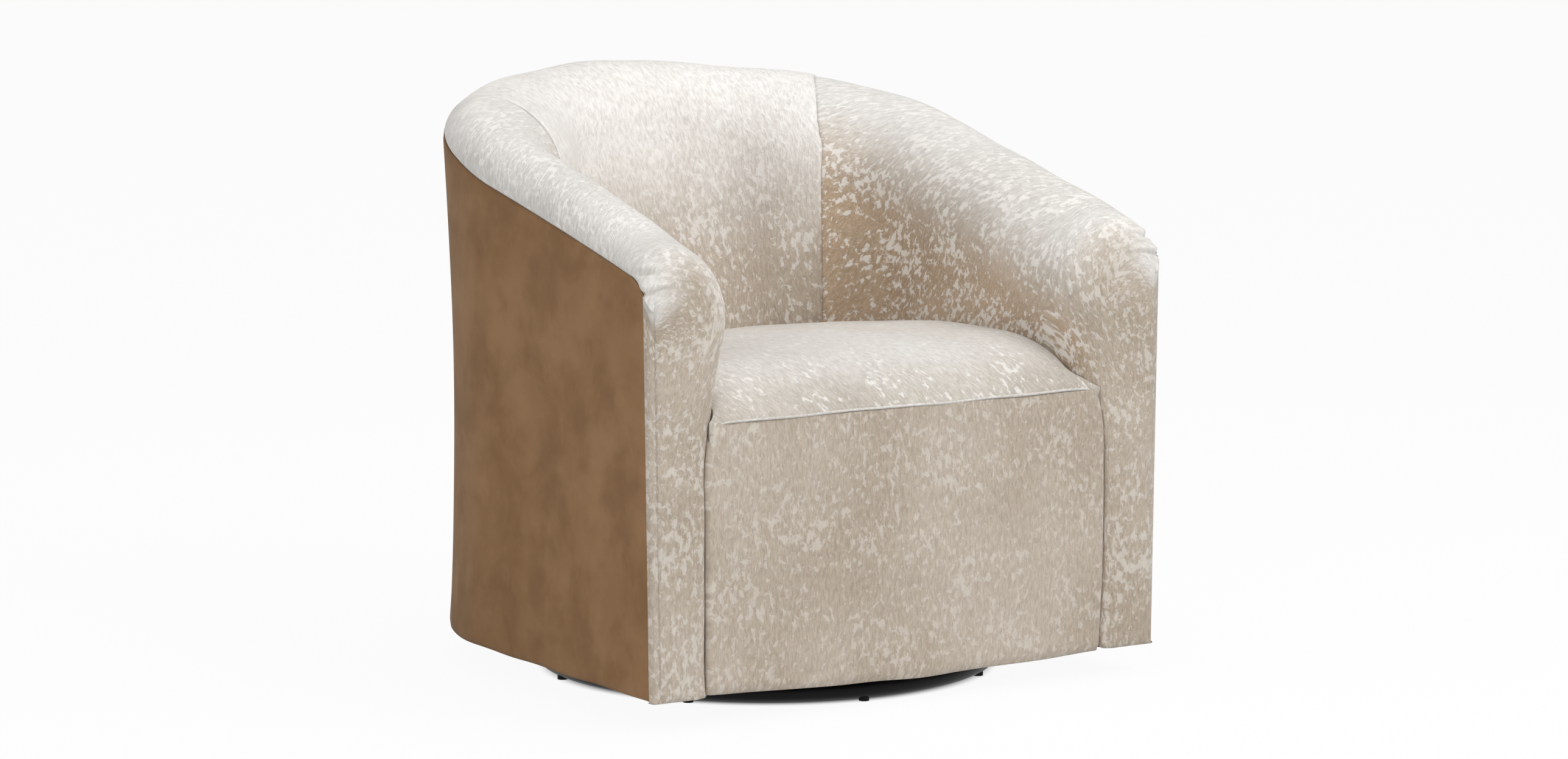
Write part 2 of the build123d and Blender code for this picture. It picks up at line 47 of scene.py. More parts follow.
# sizes of the barrel that every cover follows, in metres
barrel = {
    "frontY": -0.420, "backY": 0.420, "centreY": 0.015,
    "hemZ": 0.044, "waistZ": 0.390, "shoulderZ": 0.770,
    "hemRadius": 0.398, "waistRadius": 0.389, "shoulderRadius": 0.405,
    "hemHalf": 0.400, "shoulderHalf": 0.4105,
    "rimFront": 0.588, "rimBack": 0.768,
    "noseRadius": 0.045, "cornerDrop": 0.038, "fullBackAngle": 75.0,
}
frontY, centreY, hemZ, noseRadius = (barrel[key] for key in ("frontY", "centreY", "hemZ", "noseRadius"))
noseBackY = frontY + noseRadius

# pad cross-section: insets from the wall, arm value first, then the back's
pad = {
    "crest": (0.050, 0.052), "roll": (0.046, 0.028), "frontRoll": 0.031,
    "belly": (0.135, 0.145), "bellyDrop": (0.112, 0.080),
    "foot": (0.118, 0.222), "footZ": (0.300, 0.440),
    "hollow": 0.067, "hiddenZ": 0.303, "tuckIn": 0.002, "tuckDown": 0.001,
    "seamDrop": 0.0045, "dropRun": (0.12, 0.0), "seamStart": 0.0018,
    "seamRun": 0.0025, "seamDip": 0.0016, "swellRun": 0.012, "endDip": 0.0014, "endRun": 0.0034,
    "arcSteps": (40, 60, 60),
    # extra filling where arm and back meet
    "cornerFill": 0.040, "cornerDeep": 0.022, "footFill": 0.4, "cornerCurl": 1.5,
}


def mix(a, b, share):
    return a + (b - a) * share


def limit(value):
    return min(max(value, 0.0), 1.0)


def shares(count):
    return np.linspace(0.0, 1.0, count)


def columns(*values):
    return np.stack(np.broadcast_arrays(*values), -1)


def smooth(low, high, value):
    share = np.clip((value - low) / (high - low), 0.0, 1.0)
    return share * share * (3 - 2 * share)


def backRadius(z):
    a, b, c = hemZ, barrel["waistZ"], barrel["shoulderZ"]
    hem = (z - b) * (z - c) / ((a - b) * (a - c))
    waist = (z - a) * (z - c) / ((b - a) * (b - c))
    shoulder = (z - a) * (z - b) / ((c - a) * (c - b))
    return barrel["hemRadius"] * hem + barrel["waistRadius"] * waist + barrel["shoulderRadius"] * shoulder


def wallX(y, z):
    share = (z - hemZ) / (barrel["shoulderZ"] - hemZ)
    flare = mix(barrel["hemHalf"], barrel["shoulderHalf"], share) - backRadius(z)
    along = (centreY - y) / (centreY - frontY)
    return backRadius(z) + flare * along**2


def rimZ(y):
    return mix(barrel["rimFront"], barrel["rimBack"], (y - frontY) / (barrel["backY"] - frontY))


def noseIn(y):
    # how far the rounded front of an arm has turned in, 0 to 1
    s = limit((noseBackY - y) / noseRadius)
    return 1 - math.sqrt(1 - s * s)


def armRoll(y):
    share = limit((y - noseBackY) / (centreY - noseBackY))
    return mix(pad["frontRoll"], pad["roll"][0], math.sin(math.pi / 2 * share))


def backShare(angle):
    return float(smooth(0.0, barrel["fullBackAngle"], min(angle, 180 - angle)))


def tangentArc(start, tangent, end, count):
    start, tangent, end = (np.array(p, float) for p in (start, tangent, end))
    tangent = tangent / np.linalg.norm(tangent)
    chord = end - start
    normal = np.array([-tangent[1], tangent[0]])
    lean = chord @ normal
    steps = shares(count)
    if abs(lean) < 1e-9:
        return start + steps[:, None] * chord, tangent
    centre = start + normal * (chord @ chord) / (2 * lean)
    turn = 2 * math.atan2(lean, chord @ tangent)
    arm = start - centre
    c, s = np.cos(turn * steps), np.sin(turn * steps)
    points = centre + columns(arm[0] * c - arm[1] * s, arm[0] * s + arm[1] * c)
    last = np.array([tangent[0] * c[-1] - tangent[1] * s[-1], tangent[0] * s[-1] + tangent[1] * c[-1]])
    return points, last


def resample(line, places):
    steps = np.linalg.norm(np.diff(line, axis=0), axis=1)
    run = np.concatenate([[0.0], np.cumsum(steps)])
    return columns(*(np.interp(places * run[-1], run, values) for values in line.T))


def sectionPlaces(count):
    # closer together near the outer seam
    part = shares(count)
    return 0.45 * part + 0.55 * part**2


def seamDrop(y):
    # along the arms the outer seam runs a little below the rail
    return pad["seamDrop"] * float(smooth(*pad["dropRun"], y))


def padCurve(rim, share, drawIn, lowest, roll, drop, start):
    # from the outer seam over the roll and down the inner face: (inset, height)
    value = {key: mix(*pad[key], share) for key in ("crest", "belly", "bellyDrop", "foot", "footZ")}
    corner = (4 * share * (1 - share)) ** pad["cornerCurl"]
    value["belly"] += pad["cornerFill"] * corner
    value["bellyDrop"] += pad["cornerDeep"] * corner
    value["foot"] += pad["footFill"] * pad["cornerFill"] * corner
    belly = value["belly"] - drawIn
    full = belly / (belly + drawIn)
    crest, top = value["crest"] * full, rim + mix(roll, pad["roll"][1], share) * full
    bellyZ = top - value["bellyDrop"] * full
    foot = value["foot"] - drawIn
    outerSteps, innerSteps, faceSteps = pad["arcSteps"]
    outer, _ = tangentArc((crest, top), (-1, 0), (start, rim - drop), outerSteps)
    inner, heading = tangentArc((crest, top), (1, 0), (belly, bellyZ), innerSteps)
    face, _ = tangentArc((belly, bellyZ), heading, (foot, value["footZ"]), faceSteps)
    tail = np.array([[foot, min(lowest, value["footZ"] - pad["tuckDown"])]])
    return np.concatenate([outer[::-1], inner[1:], face[1:], tail])


def insetAt(share, z, y):
    curve = padCurve(rimZ(y), share, 0.0, 0.2, armRoll(y), 0.0, 0.0)
    low = curve[np.argmax(curve[:, 1]):]
    return float(np.interp(z, low[::-1, 1], low[::-1, 0]))


def waves(points, length, seed, count=7):
    # soft deterministic swell, about -1 to 1
    draw = np.random.default_rng(seed)
    total = np.zeros(points.shape[:-1])
    for _ in range(count):
        way = draw.normal(size=3)
        way /= np.linalg.norm(way)
        total += np.sin(points @ way * 2 * math.pi / (length * draw.uniform(0.7, 1.5)) + draw.uniform(0, 6.28))
    return total / math.sqrt(count)


def gridNormals(points, closed=False):
    if closed:
        dv = np.roll(points, -1, 1) - np.roll(points, 1, 1)
    else:
        dv = np.gradient(points, axis=1)
    du = np.gradient(points, axis=0)
    normal = np.cross(du, dv)
    return normal / np.maximum(np.linalg.norm(normal, axis=-1, keepdims=True), 1e-12)


def spread(points, axis):
    steps = np.linalg.norm(np.diff(points, axis=axis), axis=-1)
    run = np.cumsum(steps, axis=axis)
    return np.concatenate([np.zeros_like(np.take(run, [0], axis)), run], axis=axis)


def seamLift(cover, section):
    # the cloth dips at its outer seam and swells beside it
    swell = section / pad["swellRun"]
    dip = np.exp(-(section / pad["seamRun"]) ** 2)
    return cover["seamSwell"] * swell * np.exp(1 - swell) - pad["seamDip"] * dip


def endDip(path):
    return pad["endDip"] * np.exp(-(path / pad["endRun"]) ** 2)


def addObject(name, data):
    thing = bpy.data.objects.new(name, data)
    bpy.context.scene.collection.objects.link(thing)
    return thing


def aim(thing, place, way):
    thing.location = place
    thing.rotation_mode = "QUATERNION"
    thing.rotation_quaternion = way.to_track_quat("-Z", "Y")


def buildPiece(name, patches, weld=0.0002, caps=()):
    # patches are grids of (points, uv, closed rows); caps are (patch, row) loops to fill
    verts, faces, uvs, starts = [], [], [], []
    for points, uv, closed in patches:
        rows, cols = points.shape[:2]
        base = len(verts)
        starts.append((base, cols, rows))
        verts.extend(points.reshape(-1, 3).tolist())
        uvs.extend(uv.reshape(-1, 2).tolist())
        for i in range(rows - 1):
            here, ahead = base + i * cols, base + (i + 1) * cols
            for j in range(cols if closed else cols - 1):
                k = (j + 1) % cols
                faces.append((here + j, here + k, ahead + k, ahead + j))
    for patch, row in caps:
        base, cols, rows = starts[patch]
        faces.append(tuple(base + (row % rows) * cols + j for j in range(cols)))
    mesh = bpy.data.meshes.new(name)
    mesh.from_pydata(verts, [], faces)
    layer = mesh.uv_layers.new(name="clothUv")
    corner = np.zeros(len(mesh.loops), np.int32)
    mesh.loops.foreach_get("vertex_index", corner)
    layer.data.foreach_set("uv", np.array(uvs, np.float32)[corner].ravel())
    bm = bmesh.new()
    bm.from_mesh(mesh)
    bmesh.ops.remove_doubles(bm, verts=bm.verts, dist=weld)
    bmesh.ops.dissolve_degenerate(bm, edges=bm.edges, dist=1e-6)
    bmesh.ops.triangulate(bm, faces=[f for f in bm.faces if len(f.verts) > 4])
    bmesh.ops.recalc_face_normals(bm, faces=bm.faces)
    bm.to_mesh(mesh)
    bm.free()
    mesh.shade_smooth()
    piece = addObject(name, mesh)
    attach(piece, "chair")
    return piece


# camera, where the photograph was taken from
camera = {
    "eye": (-4.03965, -6.45640, 1.46913), "azimuth": -32.4693, "elevation": 8.1105,
    "lens": 128.12, "sensor": 36.0, "far": 200.0,
}


def makeCamera():
    data = bpy.data.cameras.new("camera")
    data.sensor_fit, data.sensor_width, data.lens = "HORIZONTAL", camera["sensor"], camera["lens"]
    data.clip_end = camera["far"]
    a, e = math.radians(camera["azimuth"]), math.radians(camera["elevation"])
    back = Vector((math.sin(a) * math.cos(e), -math.cos(a) * math.cos(e), math.sin(e)))
    eye = addObject("camera", data)
    aim(eye, camera["eye"], -back)
    bpy.context.scene.camera = eye


makeCamera()
print("camera set")

# padded border below the seat, built further down; the arm fronts close on its sides
border = {
    "topZ": 0.3978, "backY": -0.378, "rows": 96,
    "flatSteps": 44, "bendSteps": 12, "sideSteps": 14, "backSteps": 12,
    "widths": ((0.044, 0.3125), (0.20, 0.3155), (0.32, 0.3165), (0.35, 0.3145), (0.37, 0.3110),
               (0.385, 0.3070), (0.398, 0.3000)),
    "setBack": 0.004, "bulge": 0.005, "bulgeSpan": (0.12, 0.76), "edgeRound": 0.008,
    "topTuck": 0.0004, "topRun": (0.95, 1.0), "hemTuck": 0.005, "hemRun": (0.0, 0.03),
    "armGap": 0.001, "armLowZ": 0.301,
    "softness": 0.0012, "waveLength": 0.14, "frontBand": (0.03, 0.012),
    "hemWave": 0.0005, "hemWaveLength": 0.09, "hemBand": 0.02,
    "hemSag": 0.0085, "hemLean": 0.005, "sagRise": 0.09, "sagWidth": 0.62, "sagCurl": 1.2,
    "creaseDeep": 0.012, "creaseSlope": 3.0, "creaseGap": 0.0012, "armRound": 0.010,
}


def panelHalf(z):
    heights, halves = zip(*border["widths"])
    return np.interp(z, heights, halves)


def creaseX(y, z):
    # the crease between panel and arm front, which closes again behind
    behind = np.maximum(y - frontY - border["creaseDeep"], 0.0)
    return panelHalf(z) - border["creaseSlope"] * behind


# arm covers: inside arm, roll and padded front in one skin; seamPath is the angle at each inset
arms = {
    "seamPath": ((0.0, 40.0), (0.049, 39.4), (0.068, 38.2), (0.088, 36.8), (0.108, 35.0), (0.128, 33.2),
                 (0.146, 31.2), (0.158, 29.2), (0.165, 27.3), (0.175, 26.9)),
    "seamRow": 30, "seamGap": 0.02, "lastAngle": 46,
    "turnSteps": 44, "sideSteps": 60, "noseSteps": 44, "curveSteps": 150, "legSteps": 40, "faceSteps": 18,
    "knee": 0.52, "upShare": 0.6, "cornerRound": 0.012, "closeZ": (0.412, 0.398),
    "seamIn": 0.0045, "skinIn": 0.0006, "noseOut": 0.0003, "diveBand": (0.0092, 0.0108),
    "seamBand": (0.0060, 0.0110), "seamSwell": 0.0008,
    "softness": 0.0015, "waveLength": 0.16, "waveRun": 0.05,
    "faceBulge": 0.0035, "faceCurl": 0.7, "faceRun": 0.03, "faceWave": 0.35, "faceWaveLength": 0.11,
    "hemSag": 0.0025, "sagRise": 0.10, "sagTurn": (30.0, 80.0),
    "napTilt": 30.0, "napRun": (0.0, -0.06), "napMiddle": 0.2,
}
# gathers at the rounded corner of the arm front; a fold is height at the seam, rise inwards, length, depth
gather = {
    "folds": ((0.594, 0.008, 0.040, 0.0042), (0.573, 0.006, 0.060, 0.0052), (0.5490, -0.006, 0.058, 0.0038)),
    "riseRun": 0.014, "fullShare": 0.4, "edgeRun": (-0.002, 0.006), "width": 0.0026,
    "lip": 0.55, "lipOff": 0.0060, "lipWidth": 0.0042,
    "turnIn": (4.0, 30.0), "turnOut": (88.0, 72.0), "sectionRun": (0.12, 0.09),
}


def gathers(inset, z):
    total = np.zeros_like(z)
    for start, rise, length, depth in gather["folds"]:
        off = z - (start + rise * (1 - np.exp(-np.maximum(inset, 0) / gather["riseRun"])))
        fade = smooth(length, length * gather["fullShare"], inset) * smooth(*gather["edgeRun"], inset)
        lip = gather["lip"] * np.exp(-((off - gather["lipOff"]) / gather["lipWidth"]) ** 2)
        total += fade * depth * (lip - np.exp(-(off / gather["width"]) ** 2))
    return total


def seamAt(inset):
    # the upright seam leans off the radius, from the roll to the inner face
    return np.interp(inset, *zip(*arms["seamPath"]))


def turnedLoops(angles, makeLoop):
    # loops round the back corner: (points, insets), one row for each angle
    points, insets = [], []
    for angle in angles:
        a = math.radians(angle)
        out = np.array([math.cos(a), math.sin(a)])
        y = centreY + barrel["shoulderRadius"] * math.sin(a)
        loop = makeLoop(rimZ(y), backShare(angle), seamDrop(y))
        origin = np.array([0.0, centreY]) + backRadius(rimZ(y)) * out
        points.append([(origin[0] - out[0] * d, origin[1] - out[1] * d, z) for d, z in loop])
        insets.append([d for d, z in loop])
    return np.array(points), np.array(insets)


def warpRows(angles, points, wanted):
    # read each column of the loops at its own angles
    rows = np.zeros((wanted.shape[0],) + points.shape[1:])
    for j in range(points.shape[1]):
        for k in range(3):
            rows[:, j, k] = np.interp(wanted[:, j], angles, points[:, j, k])
    return rows


def cornerIn(y):
    # how far the rounded outer corner of the front lies inside the wall
    r = arms["cornerRound"]
    off = min(max(r - (y - frontY), 0.0), r)
    return r - math.sqrt(r * r - off * off)


def armLoop(rim, share, drawIn, roll, drop, start, wall=None):
    curve = padCurve(rim, share, drawIn, pad["hiddenZ"], roll, drop, start)
    curve = resample(curve, sectionPlaces(arms["curveSteps"]))
    legShare = shares(arms["legSteps"] + 1)[1:]
    bottomShare = shares(arms["faceSteps"] + 1)[1:-1]
    foot, low = curve[-1]
    rim -= drop
    if wall is not None:
        # the front: down to the hem and up the outer side
        base = hemZ
        shown = np.concatenate([curve, columns(foot, mix(low, base, legShare))])
        bottom = columns(mix(foot, wall, bottomShare), base)
        knee = int(arms["curveSteps"] * arms["knee"])
        run = spread(shown[None], 1)[0]
        edgeShare = np.clip(run / run[knee], 0, 1)
        edge = np.where(edgeShare < 1, mix(rim, curve[knee, 1], edgeShare), shown[:, 1])
        outer = columns(wall, edge)[::-1][:-1]
    else:
        # the side: back up inside the pad, behind the shown skin
        wall, upShare = pad["hollow"], arms["upShare"]
        middle = mix(low, rim, 0.5)
        shown = np.concatenate([curve, columns(mix(foot, wall, legShare), low)])
        bottom = columns(wall, mix(low, middle, bottomShare))
        rise = shares(len(shown) + 1)[:-2]
        up, across = np.clip(rise / upShare, 0, 1), np.clip((rise - upShare) / (1 - upShare), 0, 1)
        outer = columns(mix(wall, pad["tuckIn"], across), mix(middle, rim - pad["tuckDown"], up))
    return np.concatenate([shown, bottom, outer])


def armLoops():
    last, start, roll = arms["lastAngle"], pad["seamStart"], pad["roll"][0]
    angles = np.linspace(0.0, last, last + 1)
    turned, insets = turnedLoops(angles, lambda rim, share, drop: armLoop(rim, share, 0.0, roll, drop, start))
    seam = seamAt(insets[arms["seamRow"]])[None] - arms["seamGap"]
    rows = list(warpRows(angles, turned, np.linspace(1.0, 0.0, arms["turnSteps"])[:, None] * seam))
    turns, walls = [-1.0] * len(rows), [0.0] * len(rows)

    def addRow(loop, y, rim, turn=-1.0, wall=0.0):
        rows.append(columns(wallX(y, rim) - loop[:, 0], y, loop[:, 1]))
        turns.append(turn)
        walls.append(wall)

    for y in np.linspace(centreY, noseBackY, arms["sideSteps"])[1:]:
        addRow(armLoop(rimZ(y), 0.0, 0.0, armRoll(y), seamDrop(y), start), y, rimZ(y))
    for turn in np.linspace(0.0, 90.0, arms["noseSteps"]):
        inward = 1 - math.cos(math.radians(turn))
        y = noseBackY - noseRadius * math.sin(math.radians(turn)) - arms["noseOut"]
        rim = rimZ(y) - barrel["cornerDrop"] * inward
        # behind the seam the skin dives under the wrap, before it the skin is the corner itself
        dive = float(smooth(*arms["diveBand"], y - frontY))
        wall = cornerIn(y) + mix(arms["skinIn"], arms["seamIn"], dive)
        noseStart = max(cornerIn(y), start)
        loop = armLoop(rim, 0.0, noseRadius * inward, armRoll(y), seamDrop(y), noseStart, wall)
        addRow(loop, y, rim, turn, wall)
    return np.array(rows), np.array(turns), np.array(walls)


def makeArmCover(name, side):
    points, turns, walls = armLoops()
    count = arms["curveSteps"] + arms["legSteps"]
    outerStart = count + arms["faceSteps"] - 1
    nose = turns >= 0
    bend = border["armRound"]
    # the outer side of the front follows the flared wall, its inner edge closes on the panel
    for i in np.where(nose)[0]:
        tail = points[i, outerStart:]
        tail[:, 0] = wallX(tail[:, 1], tail[:, 2]) - walls[i]
        inner = points[i, :count]
        off = np.clip(bend - (inner[:, 1] - frontY), 0.0, bend)
        edge = creaseX(inner[:, 1], inner[:, 2]) + border["creaseGap"] + bend - np.sqrt(bend**2 - off**2)
        inner[:, 0] += np.maximum(edge - inner[:, 0], 0.0) * smooth(*arms["closeZ"], inner[:, 2])
    shown = points[:, :count].copy()
    path, section = spread(shown, 0), spread(shown, 1)
    normal = -gridNormals(points, closed=True)[:, :count]
    seamHere = np.where(nose, smooth(*arms["seamBand"], points[:, 0, 1] - frontY), 1.0)[:, None]
    lift = seamLift(arms, section) * seamHere
    lift -= endDip(path)
    swell = waves(shown, arms["waveLength"], 11 + side)
    lift += arms["softness"] * swell * smooth(0.0, arms["waveRun"], section)
    gathered = gathers(wallX(shown[..., 1], shown[..., 2]) - shown[..., 0], shown[..., 2])
    gathered *= (smooth(*gather["turnIn"], turns) * smooth(*gather["turnOut"], turns))[:, None]
    lift += gathered * smooth(*gather["sectionRun"], section)
    lift[~nose, arms["curveSteps"]:] = 0.0
    points[:, :count] += normal * lift[..., None]
    # front face, from the rounded inner edge out to the upright seam
    edgeIn = points[-1, :count]
    edgeOut = np.concatenate([points[-1, :1], points[-1, outerStart:][::-1]])
    across = shares(arms["faceSteps"] + 1)
    face = edgeIn[:, None] * (1 - across[None, :, None]) + edgeOut[:, None] * across[None, :, None]
    inside = np.sin(across * math.pi)[None] ** arms["faceCurl"]
    inside = inside * smooth(0.0, arms["faceRun"], section[-1])[:, None]
    swell = 1 + arms["faceWave"] * waves(face, arms["faceWaveLength"], 23 + side)
    face[:, :, 1] -= arms["faceBulge"] * inside * swell
    face[0] = points[-1, 0]
    face[-1, 1:-1] = points[-1, count:outerStart]
    face[:, 0], face[:, -1] = edgeIn, edgeOut
    turned = smooth(*arms["sagTurn"], turns)[:, None]
    points[..., 2] -= arms["hemSag"] * smooth(arms["sagRise"], 0.0, points[..., 2] - hemZ) * turned
    face[..., 2] -= arms["hemSag"] * smooth(arms["sagRise"], 0.0, face[..., 2] - hemZ)
    # cloth is measured from the arm front: along the side, round the nose and across the face
    uvTube = np.zeros(points.shape[:2] + (2,))
    firstNose = np.argmax(nose)
    noseSection = section[firstNose]
    noseArc = noseRadius * np.radians(np.maximum(turns, 0.0))[:, None]
    uvTube[:, :count, 0] = np.where(nose[:, None], noseArc, path - path[firstNose][None])
    uvTube[:, :count, 1] = np.where(nose[:, None], noseSection[None], section)
    uvFace = np.zeros(face.shape[:2] + (2,))
    uvFace[:, :, 0] = uvTube[-1, :count, :1] + np.linalg.norm(face - edgeIn[:, None], axis=-1)
    uvFace[:, :, 1] = noseSection[:, None]
    # the rounded outer corner carries the front's cloth on
    tails = points[:, outerStart:]
    beyond = np.linalg.norm(tails - tails[-1:], axis=-1)
    uvTube[:, outerStart:, 0] = uvFace[::-1, -1, 0][None, :tails.shape[1]] + beyond
    uvTube[:, outerStart:, 1] = noseSection[::-1][None, :tails.shape[1]]
    tilt = math.tan(math.radians(arms["napTilt"])) * smooth(*arms["napRun"], uvTube[:, :count, 0])
    uvTube[:, :count, 0] += tilt * (uvTube[:, :count, 1] - arms["napMiddle"])
    if side < 0:
        points, face = points * [-1, 1, 1], face * [-1, 1, 1]
    patches = [(points, uvTube, True), (face, uvFace, False)]
    return buildPiece(name, patches, weld=0.00001, caps=[(0, 0)])


def finishPad(piece, fill, *stands):
    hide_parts(*stands)


rightArm = makeArmCover("rightArmCover", 1)
leftArm = makeArmCover("leftArmCover", -1)
finishPad(rightArm, 0.85, "right_arm_pad")
finishPad(leftArm, 0.85, "left_arm_pad")
print("arm covers:", len(rightArm.data.vertices), "points each")

# back cover, between the two upright seams
backCover = {
    "angles": (24.0, 156.0, 133), "steps": 120, "curveSteps": 110, "lowest": 0.32, "seamRow": 6, "seamGap": 0.02,
    "seamSwell": 0.0010, "softness": 0.0022, "waveLength": 0.2, "waveRun": 0.06, "clothRow": 60, "clothLean": 0.12,
}


def backLoop(rim, share, drop):
    curve = padCurve(rim, share, 0.0, backCover["lowest"], pad["roll"][0], drop, pad["seamStart"])
    curve = resample(curve, sectionPlaces(backCover["curveSteps"]))
    rim -= drop
    low, wall, top = curve[-1, 1], pad["hollow"], rim - pad["tuckDown"]
    hidden = [
        (mix(curve[-1, 0], wall, 0.5), low), (wall, low), (wall, mix(low, rim, 0.4)), (wall, mix(low, rim, 0.8)),
        (wall, top), (wall * 0.5, top), (pad["tuckIn"], top),
    ]
    return np.concatenate([curve, np.array(hidden)])


def makeBackCover():
    angles = np.linspace(*backCover["angles"])
    turned, insets = turnedLoops(angles, backLoop)
    seam = seamAt(insets[backCover["seamRow"]])[None] + backCover["seamGap"]
    share = shares(backCover["steps"])[:, None]
    points = warpRows(angles, turned, mix(seam, 180 - seam, share))
    count, row = backCover["curveSteps"], backCover["clothRow"]
    shown = points[:, :count].copy()
    path, section = spread(shown, 0), spread(shown, 1)
    normal = gridNormals(points, closed=True)[:, :count]
    lift = seamLift(backCover, section)
    lift -= endDip(path)
    lift -= endDip(path[-1:] - path)
    swell = waves(shown, backCover["waveLength"], 31)
    lift += backCover["softness"] * swell * smooth(0.0, backCover["waveRun"], section)
    points[:, :count] += normal * lift[..., None]
    uv = np.zeros(points.shape[:2] + (2,))
    uv[:, :count, 0] = path[:, row:row + 1] + backCover["clothLean"] * section
    uv[:, :count, 1] = section
    return buildPiece("backCover", [(points, uv, True)], caps=[(0, 0), (0, -1)])


back = makeBackCover()
finishPad(back, 0.8, "back_pad")
print("back cover:", len(back.data.vertices), "points")

# seat: crowned cushion top, tucked between the arms
cushion = {
    "edgeZ": 0.3990, "topZ": 0.4655, "frontRun": 0.190, "frontCurl": 3.0, "frontEdgeY": -0.4148,
    "fall": 0.034, "fallRun": (-0.17, 0.19), "fallMost": 1.2, "fallCurl": 1.2,
    "touchZ": 0.430, "gap": 0.0007, "cornerTurn": 60.0, "edgeSteps": (40, 24, 10),
    "sideTuck": 0.011, "sideRun": 0.009, "sideSlope": 0.005, "slopeRun": 0.07, "tuckRun": 0.05,
    "softness": 0.0014, "waveLength": 0.15, "waveRun": 0.03, "rows": 110, "columns": 131,
    "skirtZ": 0.345, "skirtIn": 0.004, "skirtShares": (0.0, 0.33, 0.66, 1.0),
}


def seatEdge():
    # right-hand edge of the seat from back to front: against the back, the arm and the arm front
    gap, z = cushion["gap"], cushion["touchZ"]
    backSteps, sideSteps, noseSteps = cushion["edgeSteps"]
    line = []
    for angle in np.linspace(90.0, 0.0, backSteps):
        a = math.radians(angle)
        y = centreY + barrel["shoulderRadius"] * math.sin(a)
        radius = backRadius(rimZ(y)) - insetAt(backShare(angle), z, y) - gap
        line.append((radius * math.cos(a), centreY + radius * math.sin(a)))
    for y in np.linspace(centreY, noseBackY, sideSteps)[1:]:
        line.append((wallX(y, rimZ(y)) - insetAt(0.0, z, y) - gap, y))
    innerX = line[-1][0]
    for turn in np.linspace(0.0, cushion["cornerTurn"], noseSteps)[1:]:
        t = math.radians(turn)
        line.append((innerX + noseRadius * (1 - math.cos(t)), noseBackY - noseRadius * math.sin(t)))
    return resample(np.array(line), shares(500))


def makeSeatCover():
    edge, front = seatEdge(), cushion["frontEdgeY"]
    along = mix(front, edge[0, 1], 0.5 - 0.5 * np.cos(math.pi * shares(cushion["rows"])))
    half = np.interp(along, edge[::-1, 1], edge[::-1, 0])
    across = np.sin(math.pi / 2 * np.linspace(-1, 1, cushion["columns"]))
    x, y = half[:, None] * across[None], np.repeat(along[:, None], cushion["columns"], 1)
    sides = np.concatenate([edge, edge * [-1, 1]])
    gapTo = [np.hypot(px[:, None] - sides[:, 0], py[:, None] - sides[:, 1]).min(1) for px, py in zip(x, y)]
    gapTo = np.array(gapTo)
    t = np.clip((y - front) / cushion["frontRun"], 0, 1)
    z = cushion["edgeZ"] + (cushion["topZ"] - cushion["edgeZ"]) * (1 - (1 - t) ** cushion["frontCurl"])
    near, far = cushion["fallRun"]
    fallen = np.clip((y - near) / (far - near), 0.0, cushion["fallMost"])
    z -= cushion["fall"] * fallen ** cushion["fallCurl"]
    tuck = cushion["sideTuck"] * np.exp(-gapTo / cushion["sideRun"])
    tuck += cushion["sideSlope"] * np.exp(-gapTo / cushion["slopeRun"])
    z -= tuck * smooth(0.0, cushion["tuckRun"], y - front)
    top = columns(x, y, z)
    swell = cushion["softness"] * waves(top, cushion["waveLength"], 41)
    top[..., 2] += swell * smooth(0.0, cushion["waveRun"], gapTo) * smooth(0.0, cushion["waveRun"], y - front)
    # skirt down behind the panel and between the arms
    rim = np.concatenate([top[0], top[1:, -1], top[-2:0:-1, 0]])
    skirt = np.repeat(rim[None], len(cushion["skirtShares"]), 0)
    for k, depth in enumerate(cushion["skirtShares"]):
        skirt[k, :, 2] = mix(rim[:, 2], cushion["skirtZ"], depth)
        skirt[k, :cushion["columns"], 1] += cushion["skirtIn"] if k else 0.0
    patches = [(grid, grid[..., :2] * [1, -1], closed) for grid, closed in ((top, False), (skirt, True))]
    return buildPiece("seatCover", patches, caps=[(1, -1)])


seat = makeSeatCover()
finishPad(seat, 0.75, "seat_pad", "seat_foam", "seat_deck")
print("seat cover:", len(seat.data.vertices), "points")


